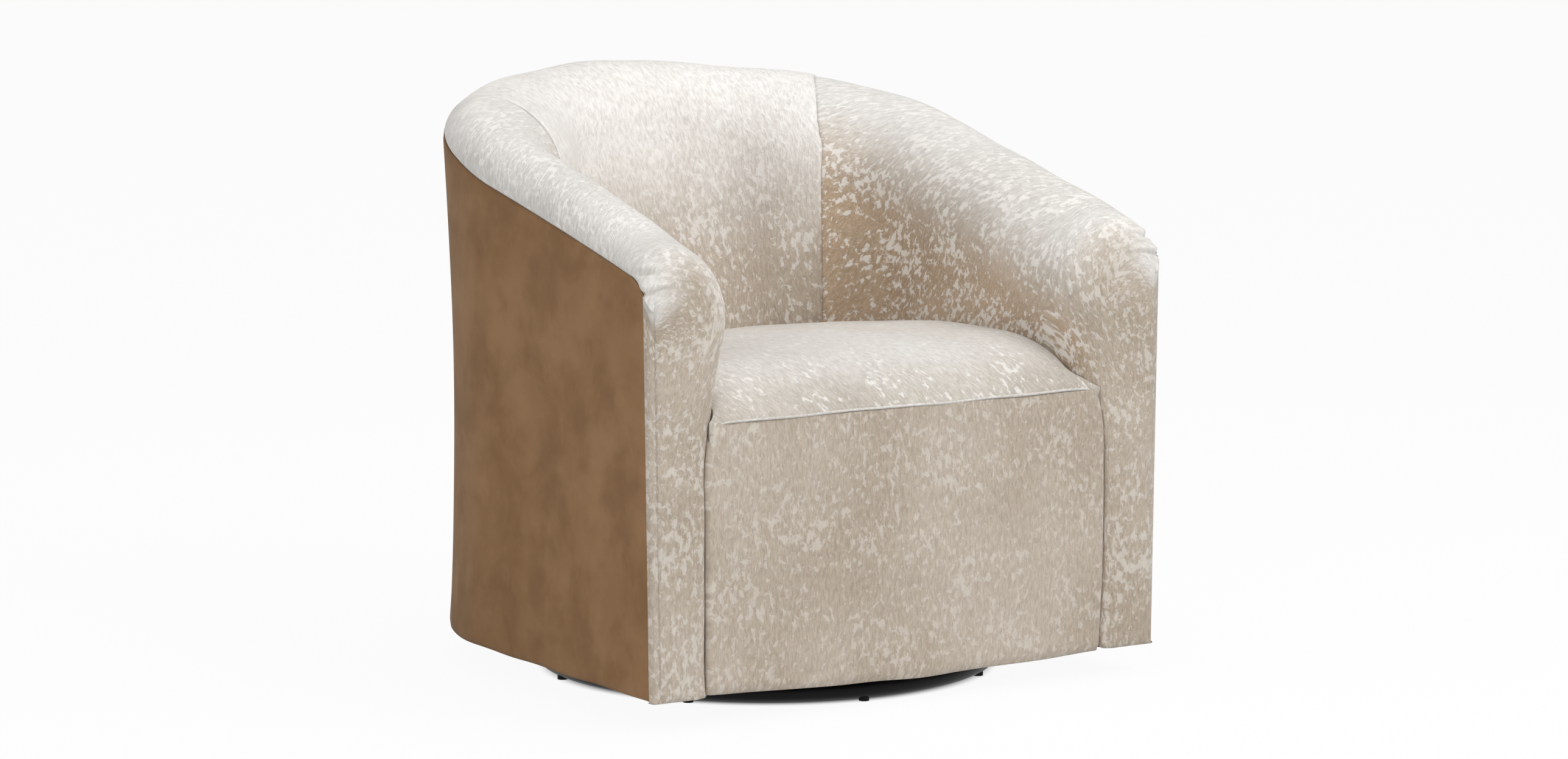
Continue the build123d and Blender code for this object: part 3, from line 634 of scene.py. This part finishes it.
def makeFrontPanel():
    rows = []
    innerBack = wallX(noseBackY, rimZ(noseBackY))
    topZ, backY, r = border["topZ"], border["backY"], border["edgeRound"]
    bulgeLow, bulgeRise = border["bulgeSpan"]
    bend = np.linspace(0.0, math.pi / 2, border["bendSteps"])[1:]
    for z in mix(hemZ, topZ, shares(border["rows"])):
        half = panelHalf(z)
        rise = (z - hemZ) / (topZ - hemZ)
        topTuck = border["topTuck"] * float(smooth(*border["topRun"], rise)) ** 2
        hemTuck = border["hemTuck"] * (1 - float(smooth(*border["hemRun"], rise)))
        bulge = border["bulge"] * math.sin(math.pi * (bulgeLow + bulgeRise * rise))
        faceY = frontY + border["setBack"] - bulge + topTuck + hemTuck
        flat = columns(np.linspace(0.0, half - r, border["flatSteps"]), faceY)
        corner = columns(half - r + r * np.sin(bend), faceY + r - r * np.cos(bend))
        innerX = innerBack - insetAt(0.0, max(z, border["armLowZ"]), noseBackY) - border["armGap"]
        side = []
        for y in np.linspace(faceY + r, backY, border["sideSteps"])[1:]:
            arm = innerX + noseRadius * noseIn(y)
            side.append((min(half, max(arm, float(creaseX(y, z)))), y))
        rest = columns(np.linspace(side[-1][0], 0.0, border["backSteps"])[1:], backY)
        right = np.concatenate([flat, corner, np.array(side), rest])
        loop = np.concatenate([right, (right * [-1, 1])[::-1][1:-1]])
        rows.append(columns(*loop.T, z))
    points = np.array(rows)
    swell = border["softness"] * waves(points, border["waveLength"], 53)
    behind, before = border["frontBand"]
    points[..., 1] -= swell * smooth(frontY + behind, frontY + before, points[..., 1])
    hem = np.exp(-((points[..., 2] - hemZ) / border["hemBand"]) ** 2)
    # the cloth droops below the hem, most just right of the middle
    share = np.clip(points[..., 0] / border["sagWidth"] + 0.5, 0.0, 1.0)
    sag = border["hemSag"] * np.sin(math.pi * share) ** border["sagCurl"]
    droop = border["hemLean"] * share + sag
    points[..., 2] -= droop * smooth(border["sagRise"], 0.0, points[..., 2] - hemZ)
    points[..., 2] += border["hemWave"] * waves(points, border["hemWaveLength"], 59) * hem
    uv = columns(points[..., 0] + 0.5 * (points[..., 1] - frontY), points[..., 2])
    return buildPiece("frontPanelCover", [(points, uv, True)], caps=[(0, 0), (0, -1)])


panel = makeFrontPanel()
finishPad(panel, 0.8, "seat_front_panel")
print("front panel:", len(panel.data.vertices), "points")

# self-welt between the seat and its front panel
welt = {
    "radius": 0.0017, "y": -0.4174, "z": 0.3997, "half": 0.298, "steps": 180, "sides": 12,
    "corner": 0.020, "endDrop": 0.005, "endBack": 0.006, "endThin": 0.55,
    "wave": 0.0007, "waveLengths": (0.07, 0.05), "clothTurn": 0.003,
}


def makeWelt():
    flat = np.linspace(-welt["half"], welt["half"], welt["steps"])
    line = columns(flat, welt["y"], welt["z"])
    over = np.clip((np.abs(flat) - (welt["half"] - welt["corner"])) / welt["corner"], 0, 1)
    upLength, outLength = welt["waveLengths"]
    line[:, 2] -= welt["endDrop"] * over**2
    line[:, 1] += welt["endBack"] * over**2.5
    line[:, 2] += welt["wave"] * waves(line * [1, 0, 0], upLength, 61)
    line[:, 1] += 0.5 * welt["wave"] * waves(line * [1, 0, 0], outLength, 67)
    ahead = np.gradient(line, axis=0)
    ahead /= np.linalg.norm(ahead, axis=1, keepdims=True)
    sideways = np.cross(ahead, np.array([0.0, 0.0, 1.0]))
    rise = np.cross(sideways, ahead)
    turn = np.linspace(0, 2 * math.pi, welt["sides"], endpoint=False)
    taper = welt["radius"] * (1 - welt["endThin"] * over**3)
    ring = np.cos(turn)[None, :, None] * sideways[:, None] + np.sin(turn)[None, :, None] * rise[:, None]
    points = line[:, None] + taper[:, None, None] * ring
    uv = columns(flat[:, None], turn[None] * welt["clothTurn"])
    return buildPiece("seatWeltCord", [(points, uv, True)], weld=1e-6, caps=[(0, 0), (0, -1)])


weltPiece = makeWelt()
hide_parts("seat_welt")
print("welt made")

# outside wrap: one skin round the barrel, rolled under at hem and seam
wrap = {
    "thickness": 0.003, "innerShares": (1.0, 0.8, 0.5, 0.2, 0.0),
    "rows": 86, "sideSteps": 46, "noseSteps": 26, "backSteps": 130, "cornerSteps": 5, "seamTurn": 80.0,
    "edgeRoll": 0.0016, "rollRun": 0.003, "edgeRun": 0.002,
    "ripple": 0.0011, "rippleLength": 0.30, "bodyRun": 0.05, "middleZ": 0.4,
    "hemWave": 0.0010, "hemWaveLength": 0.10, "hemBand": 0.02,
}


def seamTop(y):
    return rimZ(y) - barrel["cornerDrop"] * noseIn(y) - seamDrop(y)


def makeWrap():
    # the front seam lies on the side, just behind the rounded corner
    bend = arms["cornerRound"]
    places = [("corner", turn) for turn in np.linspace(wrap["seamTurn"], 90.0, wrap["cornerSteps"])[:-1]]
    firstTurn = math.degrees(math.asin(1 - bend / noseRadius))
    for turn in np.linspace(firstTurn, 0.0, wrap["noseSteps"]):
        places.append(("side", noseBackY - noseRadius * math.sin(math.radians(turn))))
    places += [("side", y) for y in np.linspace(noseBackY, centreY, wrap["sideSteps"])[1:]]
    places += [("back", angle) for angle in np.linspace(0.0, 90.0, wrap["backSteps"] // 2)[1:]]
    half, count = [], wrap["rows"]
    rise, innerShares = shares(count), np.array(wrap["innerShares"])
    for kind, value in places:
        y, a = value, math.radians(value)
        if kind == "corner":
            y = frontY + bend * (1 - math.cos(a))
        elif kind == "back":
            y = centreY + barrel["shoulderRadius"] * math.sin(a)
        top = seamTop(y)
        z = mix(hemZ, top, rise)
        rolled = np.exp(-(top - z) / wrap["rollRun"]) + np.exp(-(z - hemZ) / wrap["rollRun"])
        heights = np.concatenate([z, mix(hemZ, top, innerShares)])
        insets = np.concatenate([wrap["edgeRoll"] * rolled, np.full(len(innerShares), wrap["thickness"])])
        if kind == "side":
            line = wallX(y, heights) - insets, y, heights
        elif kind == "corner":
            edge = wrap["edgeRoll"] * math.exp(-bend * math.radians(value - wrap["seamTurn"]) / wrap["edgeRun"])
            insets[:count] = np.maximum(insets[:count], edge)
            acrossX = wallX(y, heights) - bend * (1 - math.sin(a)) - insets * math.sin(a)
            line = acrossX, y + insets * math.cos(a), heights
        else:
            radii = backRadius(heights) - insets
            line = radii * math.cos(a), centreY + radii * math.sin(a), heights
        half.append(columns(*line))
    right = np.array(half)
    left = (right * [-1, 1, 1])[::-1][1:]
    points = np.concatenate([right, left])
    shown = points[:, :count]
    normal = gridNormals(points)[:, :count]
    normal *= np.sign((normal * (shown - [0, 0, wrap["middleZ"]])).sum(-1, keepdims=True) + 1e-12)
    body = smooth(hemZ, hemZ + wrap["bodyRun"], shown[..., 2])
    body = body * smooth(0.0, wrap["bodyRun"], shown[:, -1:, 2] - shown[..., 2])
    points[:, :count] += normal * (wrap["ripple"] * waves(shown, wrap["rippleLength"], 71) * body)[..., None]
    hem = np.exp(-((points[..., 2] - hemZ) / wrap["hemBand"]) ** 2)
    points[..., 2] += wrap["hemWave"] * waves(points, wrap["hemWaveLength"], 73) * hem
    uv = columns(spread(points[:, :1], 0), points[..., 2])
    return buildPiece("outsideWrapCover", [(points, uv, True)], caps=[(0, 0), (0, -1)])


wrapPiece = makeWrap()
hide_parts("outside_wrap")
print("outside wrap:", len(wrapPiece.data.vertices), "points")

# black cloth under the seat, with a window for the swivel plate
dust = {
    "z": 0.0449, "inset": 0.004, "frontY": -0.3742, "window": 0.1555, "windowY": -0.064,
    "around": 176, "rings": 14, "reach": (0.15, 0.7),
    "sag": 0.0022, "sagWave": 0.3, "waveLength": 0.12,
}


def underBarrel(x, y):
    if y > centreY:
        return math.hypot(x, y - centreY) < backRadius(dust["z"]) - dust["inset"]
    return y > dust["frontY"] and abs(x) < wallX(y, dust["z"]) - dust["inset"]


def makeDustCover():
    angles = np.linspace(0.0, 2 * math.pi, dust["around"], endpoint=False) + math.pi / 4
    heart = np.array([0.0, dust["windowY"]])
    inner, outer = [], []
    for a in angles:
        way = np.array([math.cos(a), math.sin(a)])
        inner.append(heart + way * dust["window"] / max(abs(way)))
        low, high = dust["reach"]
        for _ in range(40):
            reach = (low + high) / 2
            low, high = (reach, high) if underBarrel(*(heart + way * reach)) else (low, reach)
        outer.append(heart + way * low)
    inner, outer = np.array(inner), np.array(outer)
    rows = []
    for share in shares(dust["rings"]):
        plan = mix(inner, outer, share)
        swell = 1 + dust["sagWave"] * waves(columns(*plan.T, 0.0), dust["waveLength"], 83)
        rows.append(columns(*plan.T, dust["z"] - dust["sag"] * math.sin(math.pi * share) * swell))
    points = np.array(rows)
    return buildPiece("dustCoverCloth", [(points, points[..., :2].copy(), True)])


dustPiece = makeDustCover()
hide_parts("dust_cover")
print("dust cover made")


# materials
def newGroup(name, inputs, outputs):
    group = bpy.data.node_groups.new(name, "ShaderNodeTree")
    for label, kind, value in inputs:
        socket = group.interface.new_socket(label, in_out="INPUT", socket_type=kind)
        if value is not None:
            socket.default_value = value
    for label in outputs:
        group.interface.new_socket(label, in_out="OUTPUT", socket_type="NodeSocketFloat")
    return group, group.nodes.new("NodeGroupInput"), group.nodes.new("NodeGroupOutput")


def plug(tree, socket, value):
    if isinstance(value, (int, float, tuple)):
        socket.default_value = value
    else:
        tree.links.new(value, socket)


def addNode(tree, kind, links=(), **settings):
    node = tree.nodes.new(kind)
    for key, value in settings.items():
        setattr(node, key, value)
    for socket, source in links:
        plug(tree, node.inputs[socket], source)
    return node


def addMath(tree, operation, a, b):
    return addNode(tree, "ShaderNodeMath", [(0, a), (1, b)], operation=operation).outputs[0]


def times(tree, a, b):
    return addMath(tree, "MULTIPLY", a, b)


def plus(tree, a, b):
    return addMath(tree, "ADD", a, b)


def addRamp(tree, value, low, high):
    links = [("Value", value), ("From Min", low), ("From Max", high)]
    return addNode(tree, "ShaderNodeMapRange", links, interpolation_type="SMOOTHSTEP").outputs["Result"]


def addMix(tree, factor, a, b, blend="MIX"):
    node = addNode(tree, "ShaderNodeMix", data_type="RGBA", blend_type=blend)
    for index, value in ((0, factor), (6, a), (7, b)):
        plug(tree, node.inputs[index], value)
    return node.outputs[2]


def stretch(tree, vector, scale, shift=(0.0, 0.0, 0.0), turn=0.0):
    rotation = (0.0, 0.0, math.radians(turn))
    links = [("Vector", vector), ("Scale", scale), ("Rotation", rotation), ("Location", shift)]
    return addNode(tree, "ShaderNodeMapping", links).outputs["Vector"]


def noise(tree, vector, scale, detail=3.0, rough=0.55, twist=0.0):
    links = [("Vector", vector), ("Scale", scale), ("Detail", detail), ("Roughness", rough), ("Distortion", twist)]
    return addNode(tree, "ShaderNodeTexNoise", links).outputs["Fac"]


# layers of the pile: stretch and shift along the cloth, then noise scale, detail, roughness and twist
pileLayers = {
    "spots": ((1.0, 0.62, 1.0), (0.0, 0.0, 0.0), 118.0, 3.5, 0.62, 0.35),
    "patches": ((1.0, 0.8, 1.0), (3.1, 1.7, 0.0), 15.0, 2.0, 0.5, 0.0),
    "small": ((1.0, 0.8, 1.0), (4.4, 8.1, 0.0), 270.0, 4.0, 0.65, 0.6),
    "hairs": ((1.0, 0.14, 1.0), (0.4, 5.2, 0.0), 620.0, 2.0, 0.6, 0.3),
    "tufts": ((1.0, 0.34, 1.0), (7.3, 0.9, 0.0), 235.0, 2.0, 0.5, 0.6),
    "lay": ((1.0, 0.7, 1.0), (9.0, 2.0, 0.0), 5.0, 3.0, 0.5, 0.0),
}
pileLook = {
    "patchShare": 0.40, "spotBand": (0.510, 0.605), "smallBand": (0.55, 0.66), "smallShare": 0.45,
    "hairShare": 0.45, "tuftShare": 0.55, "fleckHeight": 0.25,
}


def makePileGroup():
    inputs = [("Cloth", "NodeSocketVector", None), ("Sparse", "NodeSocketFloat", 0.0)]
    group, given, out = newGroup("velvetPile", inputs, ("Fleck", "Nap", "Lay", "Height"))
    cloth = given.outputs["Cloth"]
    layer = {}
    for name, (scale, shift, *settings) in pileLayers.items():
        layer[name] = noise(group, stretch(group, cloth, scale, shift), *settings)
    patchy = times(group, addMath(group, "SUBTRACT", layer["patches"], 0.5), pileLook["patchShare"])
    level = addMath(group, "SUBTRACT", plus(group, layer["spots"], patchy), given.outputs["Sparse"])
    small = times(group, addRamp(group, layer["small"], *pileLook["smallBand"]), pileLook["smallShare"])
    fleck = addMath(group, "MAXIMUM", addRamp(group, level, *pileLook["spotBand"]), small)
    hairs = times(group, layer["hairs"], pileLook["hairShare"])
    nap = plus(group, hairs, times(group, layer["tufts"], pileLook["tuftShare"]))
    height = plus(group, nap, times(group, fleck, pileLook["fleckHeight"]))
    for label, source in (("Fleck", fleck), ("Nap", nap), ("Lay", layer["lay"]), ("Height", height)):
        group.links.new(source, out.inputs[label])
    return group


def makeGrainGroup():
    inputs = [("Vector", "NodeSocketVector", None), ("Scale", "NodeSocketFloat", 400.0)]
    group, given, out = newGroup("fineGrain", inputs, ("Grain", "Cloud"))
    place = given.outputs["Vector"]
    links = [("Vector", place), ("Scale", given.outputs["Scale"]), ("Detail", 3.0)]
    fine = addNode(group, "ShaderNodeTexNoise", links)
    group.links.new(fine.outputs["Fac"], out.inputs["Grain"])
    group.links.new(noise(group, place, 9.0, 4.0, 0.55), out.inputs["Cloud"])
    return group


pileGroup = makePileGroup()
grainGroup = makeGrainGroup()


def newMaterial(name):
    material = bpy.data.materials.new(name)
    material.use_nodes = True
    tree = material.node_tree
    return material, tree, tree.nodes["Principled BSDF"]


def addGroup(tree, group, links):
    return addNode(tree, "ShaderNodeGroup", links, node_tree=group)


def setShader(shader, values):
    for socket, value in values.items():
        shader.inputs[socket].default_value = value


def finishShader(tree, shader, colour, rough, height, strength, distance, values):
    setShader(shader, values)
    bump = addNode(tree, "ShaderNodeBump", [("Height", height), ("Strength", strength), ("Distance", distance)])
    for socket, source in (("Base Color", colour), ("Roughness", rough), ("Normal", bump.outputs["Normal"])):
        tree.links.new(source, shader.inputs[socket])


# each piece has its own ground tones, two that change at random; paler on one side of a line along the cloth,
# a painted highlight on the tops and rolls, and darker beyond it, painted shade on the seat's front roll and lower
# down the arms and back; the arm fronts have tones of their own and the insides are painted as warmer shade;
# turn and shift place the pattern
velvetLook = {
    "rightArmVelvet": {
        "litUpper": ((0.700, 0.680, 0.648, 1), (0.765, 0.750, 0.725, 1)),
        "shadedLower": ((0.440, 0.330, 0.230, 1), (0.590, 0.455, 0.328, 1)), "line": (0.130, 0.300),
        "front": ((0.430, 0.362, 0.288, 1), (0.500, 0.435, 0.360, 1)), "frontLine": (-0.01, 0.06),
        "pale": (0.890, 0.860, 0.815, 1), "fleck": 0.82, "frontFleck": 0.34, "sparse": 0.0,
        "shift": (0.0, 0.0, 0.0), "turn": 0.0,
    },
    "panelVelvet": {
        "litUpper": ((0.450, 0.382, 0.308, 1), (0.525, 0.460, 0.385, 1)),
        "shadedLower": ((0.440, 0.372, 0.300, 1), (0.510, 0.448, 0.374, 1)), "line": (0.05, 0.35),
        "pale": (0.740, 0.695, 0.635, 1), "fleck": 0.42, "sparse": 0.010,
        "shift": (2.0, 0.0, 0.0), "turn": 0.0,
    },
    "seatVelvet": {
        "litUpper": ((0.650, 0.625, 0.590, 1), (0.720, 0.700, 0.672, 1)),
        "shadedLower": ((0.480, 0.435, 0.380, 1), (0.560, 0.520, 0.465, 1)), "line": (0.320, 0.415),
        "pale": (0.900, 0.885, 0.860, 1), "fleck": 0.60, "sparse": 0.055,
        "shift": (0.0, 3.0, 0.0), "turn": 24.0,
    },
    "backVelvet": {
        "litUpper": ((0.790, 0.762, 0.728, 1), (0.880, 0.862, 0.838, 1)),
        "shadedLower": ((0.400, 0.325, 0.250, 1), (0.520, 0.445, 0.365, 1)), "line": (0.190, 0.430),
        "pale": (0.900, 0.880, 0.850, 1), "fleck": 0.52, "sparse": 0.0,
        "shift": (0.0, 0.0, 0.0), "turn": 0.0,
    },
}
velvetLook["leftArmVelvet"] = dict(velvetLook["rightArmVelvet"], shift=(5.0, 0.0, 0.0), line=(0.16, 0.30))
velvet = {
    "toneBand": (0.35, 0.65), "frontBand": (0.02, 0.11),
    "napDark": (0.84, 0.82, 0.80, 1), "napLight": (1.08, 1.08, 1.08, 1),
    "roughness": 0.88, "fleckGloss": 0.18, "bump": (0.70, 0.0018),
    "shader": {"Sheen Weight": 0.45, "Sheen Roughness": 0.42, "Sheen Tint": (1.0, 0.97, 0.93, 1),
               "Specular IOR Level": 0.18},
}


def makeVelvet(name):
    material, tree, shader = newMaterial(name)
    look, band = velvetLook[name], velvet["toneBand"]
    cloth = addNode(tree, "ShaderNodeUVMap", uv_map="clothUv").outputs["UV"]
    laid = stretch(tree, cloth, (1.0, 1.0, 1.0), look["shift"], look["turn"])
    pile = addGroup(tree, pileGroup, [("Cloth", laid), ("Sparse", look["sparse"])])
    fleck = pile.outputs["Fleck"]
    place = addNode(tree, "ShaderNodeSeparateXYZ", [("Vector", cloth)])
    lay = addRamp(tree, pile.outputs["Lay"], *band)
    # painted light: the upper tones are a painted highlight on tops and rolls, the lower tones painted shade
    # further down the cloth
    litUpper, shadedLower = (addMix(tree, lay, *look[key]) for key in ("litUpper", "shadedLower"))
    ground = addMix(tree, addRamp(tree, place.outputs["Y"], *look["line"]), litUpper, shadedLower)
    strength = look["fleck"]
    # the arm fronts take a lit tone of their own, while the inside faces keep the darker, warmer painted shade
    if "front" in look:
        facing = addRamp(tree, place.outputs["X"], *look["frontLine"])
        below = times(tree, facing, addRamp(tree, place.outputs["Y"], *velvet["frontBand"]))
        ground = addMix(tree, below, ground, addMix(tree, lay, *look["front"]))
        strength = plus(tree, strength, times(tree, facing, look["frontFleck"] - strength))
    napShare = addRamp(tree, pile.outputs["Nap"], *band)
    napTone = addMix(tree, napShare, velvet["napDark"], velvet["napLight"])
    colour = addMix(tree, 1.0, ground, napTone, "MULTIPLY")
    colour = addMix(tree, times(tree, fleck, strength), colour, look["pale"])
    gloss = times(tree, fleck, velvet["fleckGloss"])
    rough = addMath(tree, "SUBTRACT", velvet["roughness"], gloss)
    finishShader(tree, shader, colour, rough, pile.outputs["Height"], *velvet["bump"], velvet["shader"])
    return material


# brushed suede: wide clouds of tone, finer brushing and grain
suedeLook = {
    "brown": (0.294, 0.164, 0.076, 1), "light": (0.352, 0.206, 0.102, 1), "dark": (0.240, 0.130, 0.058, 1),
    "grain": 900.0, "wideBand": (0.36, 0.66), "cloudBand": (0.42, 0.70), "cloudShare": 0.75,
    "brushBand": (0.50, 0.72), "brushShare": 0.28, "roughness": 0.74, "grainRough": 0.2,
    "bump": (0.22, 0.0007),
    "shader": {"Sheen Weight": 0.06, "Sheen Roughness": 0.5, "Specular IOR Level": 0.12},
}


def makeSuede():
    material, tree, shader = newMaterial("brushedSuede")
    cloth = addNode(tree, "ShaderNodeUVMap", uv_map="clothUv").outputs["UV"]
    grain = addGroup(tree, grainGroup, [("Vector", cloth), ("Scale", suedeLook["grain"])])
    fine = grain.outputs["Grain"]
    wide = noise(tree, stretch(tree, cloth, (1.0, 0.85, 1.0)), 10.0, 4.0, 0.6, 0.4)
    brushed = noise(tree, stretch(tree, cloth, (1.0, 0.70, 1.0), (2.0, 4.0, 0.0)), 34.0, 3.0, 0.6)
    colour = addMix(tree, addRamp(tree, wide, *suedeLook["wideBand"]), suedeLook["dark"], suedeLook["brown"])
    for source, key in ((grain.outputs["Cloud"], "cloud"), (brushed, "brush")):
        share = times(tree, addRamp(tree, source, *suedeLook[key + "Band"]), suedeLook[key + "Share"])
        colour = addMix(tree, share, colour, suedeLook["light"])
    rough = plus(tree, suedeLook["roughness"], times(tree, fine, suedeLook["grainRough"]))
    height = plus(tree, fine, times(tree, brushed, 0.5))
    finishShader(tree, shader, colour, rough, height, *suedeLook["bump"], suedeLook["shader"])
    return material


# plain finishes with fine grain and a faint cloudy change of tone
grainedLook = {
    "ring_black": dict(name="blackPowderCoat", dark=(0.003, 0.003, 0.0035, 1), light=(0.006, 0.006, 0.007, 1),
                       roughness=0.40, scale=900.0, specular=0.14),
    "foot_black": dict(name="blackNylonFoot", dark=(0.004, 0.004, 0.004, 1), light=(0.009, 0.009, 0.009, 1),
                       roughness=0.6, specular=0.15),
    "zinc_steel": dict(name="zincPlate", dark=(0.42, 0.42, 0.41, 1), light=(0.58, 0.58, 0.56, 1),
                       roughness=0.38, metallic=1.0, scale=700.0, bump=0.08, stretched=(1.0, 0.08, 1.0)),
    "ball_steel": dict(name="ballSteel", dark=(0.62, 0.62, 0.62, 1), light=(0.70, 0.70, 0.70, 1),
                       roughness=0.14, metallic=1.0, scale=300.0, bump=0.01),
    "cage_nylon": dict(name="cageNylon", dark=(0.66, 0.66, 0.62, 1), light=(0.72, 0.72, 0.68, 1), roughness=0.5),
    "plywood": dict(name="birchPlywood", dark=(0.42, 0.27, 0.14, 1), light=(0.56, 0.40, 0.24, 1),
                    roughness=0.65, scale=160.0, bump=0.12, stretched=(0.12, 1.0, 1.0)),
    "webbing": dict(name="elasticWebbing", dark=(0.03, 0.03, 0.035, 1), light=(0.09, 0.09, 0.10, 1),
                    roughness=0.8, scale=420.0, bump=0.3, stretched=(1.0, 0.1, 1.0)),
    "card": dict(name="liningCard", dark=(0.30, 0.21, 0.12, 1), light=(0.38, 0.28, 0.17, 1),
                 roughness=0.85, scale=260.0, bump=0.1),
    "lining_black": dict(name="blackLining", dark=(0.008, 0.008, 0.008, 1), light=(0.020, 0.020, 0.020, 1),
                         roughness=0.9, scale=1500.0, bump=0.3, specular=0.2),
    "foam": dict(name="seatFoam", dark=(0.70, 0.62, 0.36, 1), light=(0.78, 0.70, 0.44, 1),
                 roughness=0.9, scale=900.0, bump=0.3),
}
grainTone = {"cloud": 0.6, "grain": 0.4, "band": (0.35, 0.65), "roughSpan": 0.12, "bumpDepth": 0.0004}


def makeGrained(name, dark, light, roughness, metallic=0.0, scale=500.0, bump=0.15, stretched=(1.0, 1.0, 1.0),
                specular=0.5):
    material, tree, shader = newMaterial(name)
    place = addNode(tree, "ShaderNodeTexCoord").outputs["Object"]
    grain = addGroup(tree, grainGroup, [("Vector", stretch(tree, place, stretched)), ("Scale", scale)])
    fine = grain.outputs["Grain"]
    cloud = times(tree, grain.outputs["Cloud"], grainTone["cloud"])
    tone = plus(tree, cloud, times(tree, fine, grainTone["grain"]))
    colour = addMix(tree, addRamp(tree, tone, *grainTone["band"]), dark, light)
    span = grainTone["roughSpan"]
    rough = plus(tree, roughness - span / 2, times(tree, fine, span))
    values = {"Metallic": metallic, "Specular IOR Level": specular}
    finishShader(tree, shader, colour, rough, fine, bump, grainTone["bumpDepth"], values)
    return material


velvets = {name: makeVelvet(name) for name in velvetLook}
suede = makeSuede()
finishes = {slot: makeGrained(**look) for slot, look in grainedLook.items()}
finishes.update({"velvet": velvets["panelVelvet"], "suede": suede})
slotOf = {row["node"]: row["material_slot"] for row in frame["record"]["subparts"]}


def dress(piece, material):
    piece.data.materials.clear()
    piece.data.materials.append(material)


# the welt cord takes the seat velvet's pale upper tone, a painted highlight along the cord
for piece, finish in ((rightArm, "rightArmVelvet"), (leftArm, "leftArmVelvet"), (seat, "seatVelvet"),
                      (panel, "panelVelvet"), (weltPiece, "seatVelvet"), (back, "backVelvet")):
    dress(piece, velvets[finish])
dress(wrapPiece, suede)
dress(dustPiece, finishes["lining_black"])
for name, node in nodes.items():
    dress(node, finishes[slotOf[name]])
print("materials set:", len(finishes))

# floor, light and background; a lamp is place, target, size and power
studio = {
    "floorHalf": 30.0, "floorTone": (0.86, 0.86, 0.86, 1), "floorRough": 0.9, "floorGlow": 0.94,
    "shadeCentre": (0.0, -0.064, 0.0), "shadeBand": (0.285, 0.320), "world": 0.42,
    "lamps": {
        "keyLight": ((1.2, -2.9, 3.1), (0, -0.1, 0.5), 2.4, 68.0),
        "topLight": ((0.2, -0.3, 3.6), (0, -0.1, 0.4), 2.6, 34.0),
        "fillLight": ((-3.4, -3.0, 1.8), (0, 0, 0.4), 2.4, 44.0),
    },
}


def seenRay(tree):
    # rays from the camera, straight or by way of a shine
    path = addNode(tree, "ShaderNodeLightPath")
    bent = addMath(tree, "MAXIMUM", path.outputs["Is Glossy Ray"], path.outputs["Is Transmission Ray"])
    return addMath(tree, "MAXIMUM", path.outputs["Is Camera Ray"], bent)


def blendShaders(tree, share, first, second, output):
    blend = addNode(tree, "ShaderNodeMixShader", [("Fac", share), (1, first.outputs[0]), (2, second.outputs[0])])
    tree.links.new(blend.outputs[0], tree.nodes[output].inputs["Surface"])


def makeFloor():
    half = studio["floorHalf"]
    mesh = bpy.data.meshes.new("studioFloor")
    mesh.from_pydata([(-half, -half, 0), (half, -half, 0), (half, half, 0), (-half, half, 0)], [], [(0, 1, 2, 3)])
    floor = addObject("studioFloor", mesh)
    material, tree, shader = newMaterial("paleFloor")
    setShader(shader, {"Base Color": studio["floorTone"], "Roughness": studio["floorRough"]})
    glow = addNode(tree, "ShaderNodeEmission", [("Strength", 1.0)])
    # no glow under the chair, where the floor stays in its shadow
    place = addNode(tree, "ShaderNodeNewGeometry").outputs["Position"]
    off = addNode(tree, "ShaderNodeVectorMath", [(0, place), (1, studio["shadeCentre"])], operation="DISTANCE")
    clear = addRamp(tree, off.outputs["Value"], *studio["shadeBand"])
    share = times(tree, times(tree, seenRay(tree), clear), studio["floorGlow"])
    blendShaders(tree, share, shader, glow, "Material Output")
    dress(floor, material)


def makeLight():
    world = bpy.data.worlds.new("studio")
    bpy.context.scene.world = world
    world.use_nodes = True
    tree = world.node_tree
    base = tree.nodes["Background"]
    setShader(base, {"Color": (1, 1, 1, 1), "Strength": studio["world"]})
    bright = addNode(tree, "ShaderNodeBackground", [("Strength", 1.0)])
    blendShaders(tree, seenRay(tree), base, bright, "World Output")
    for name, (place, target, size, power) in studio["lamps"].items():
        data = bpy.data.lights.new(name, "AREA")
        data.shape, data.size, data.energy = "DISK", size, power
        aim(addObject(name, data), place, Vector(target) - Vector(place))
    bpy.context.scene.view_settings.view_transform = "Standard"


makeFloor()
makeLight()
print("studio set")
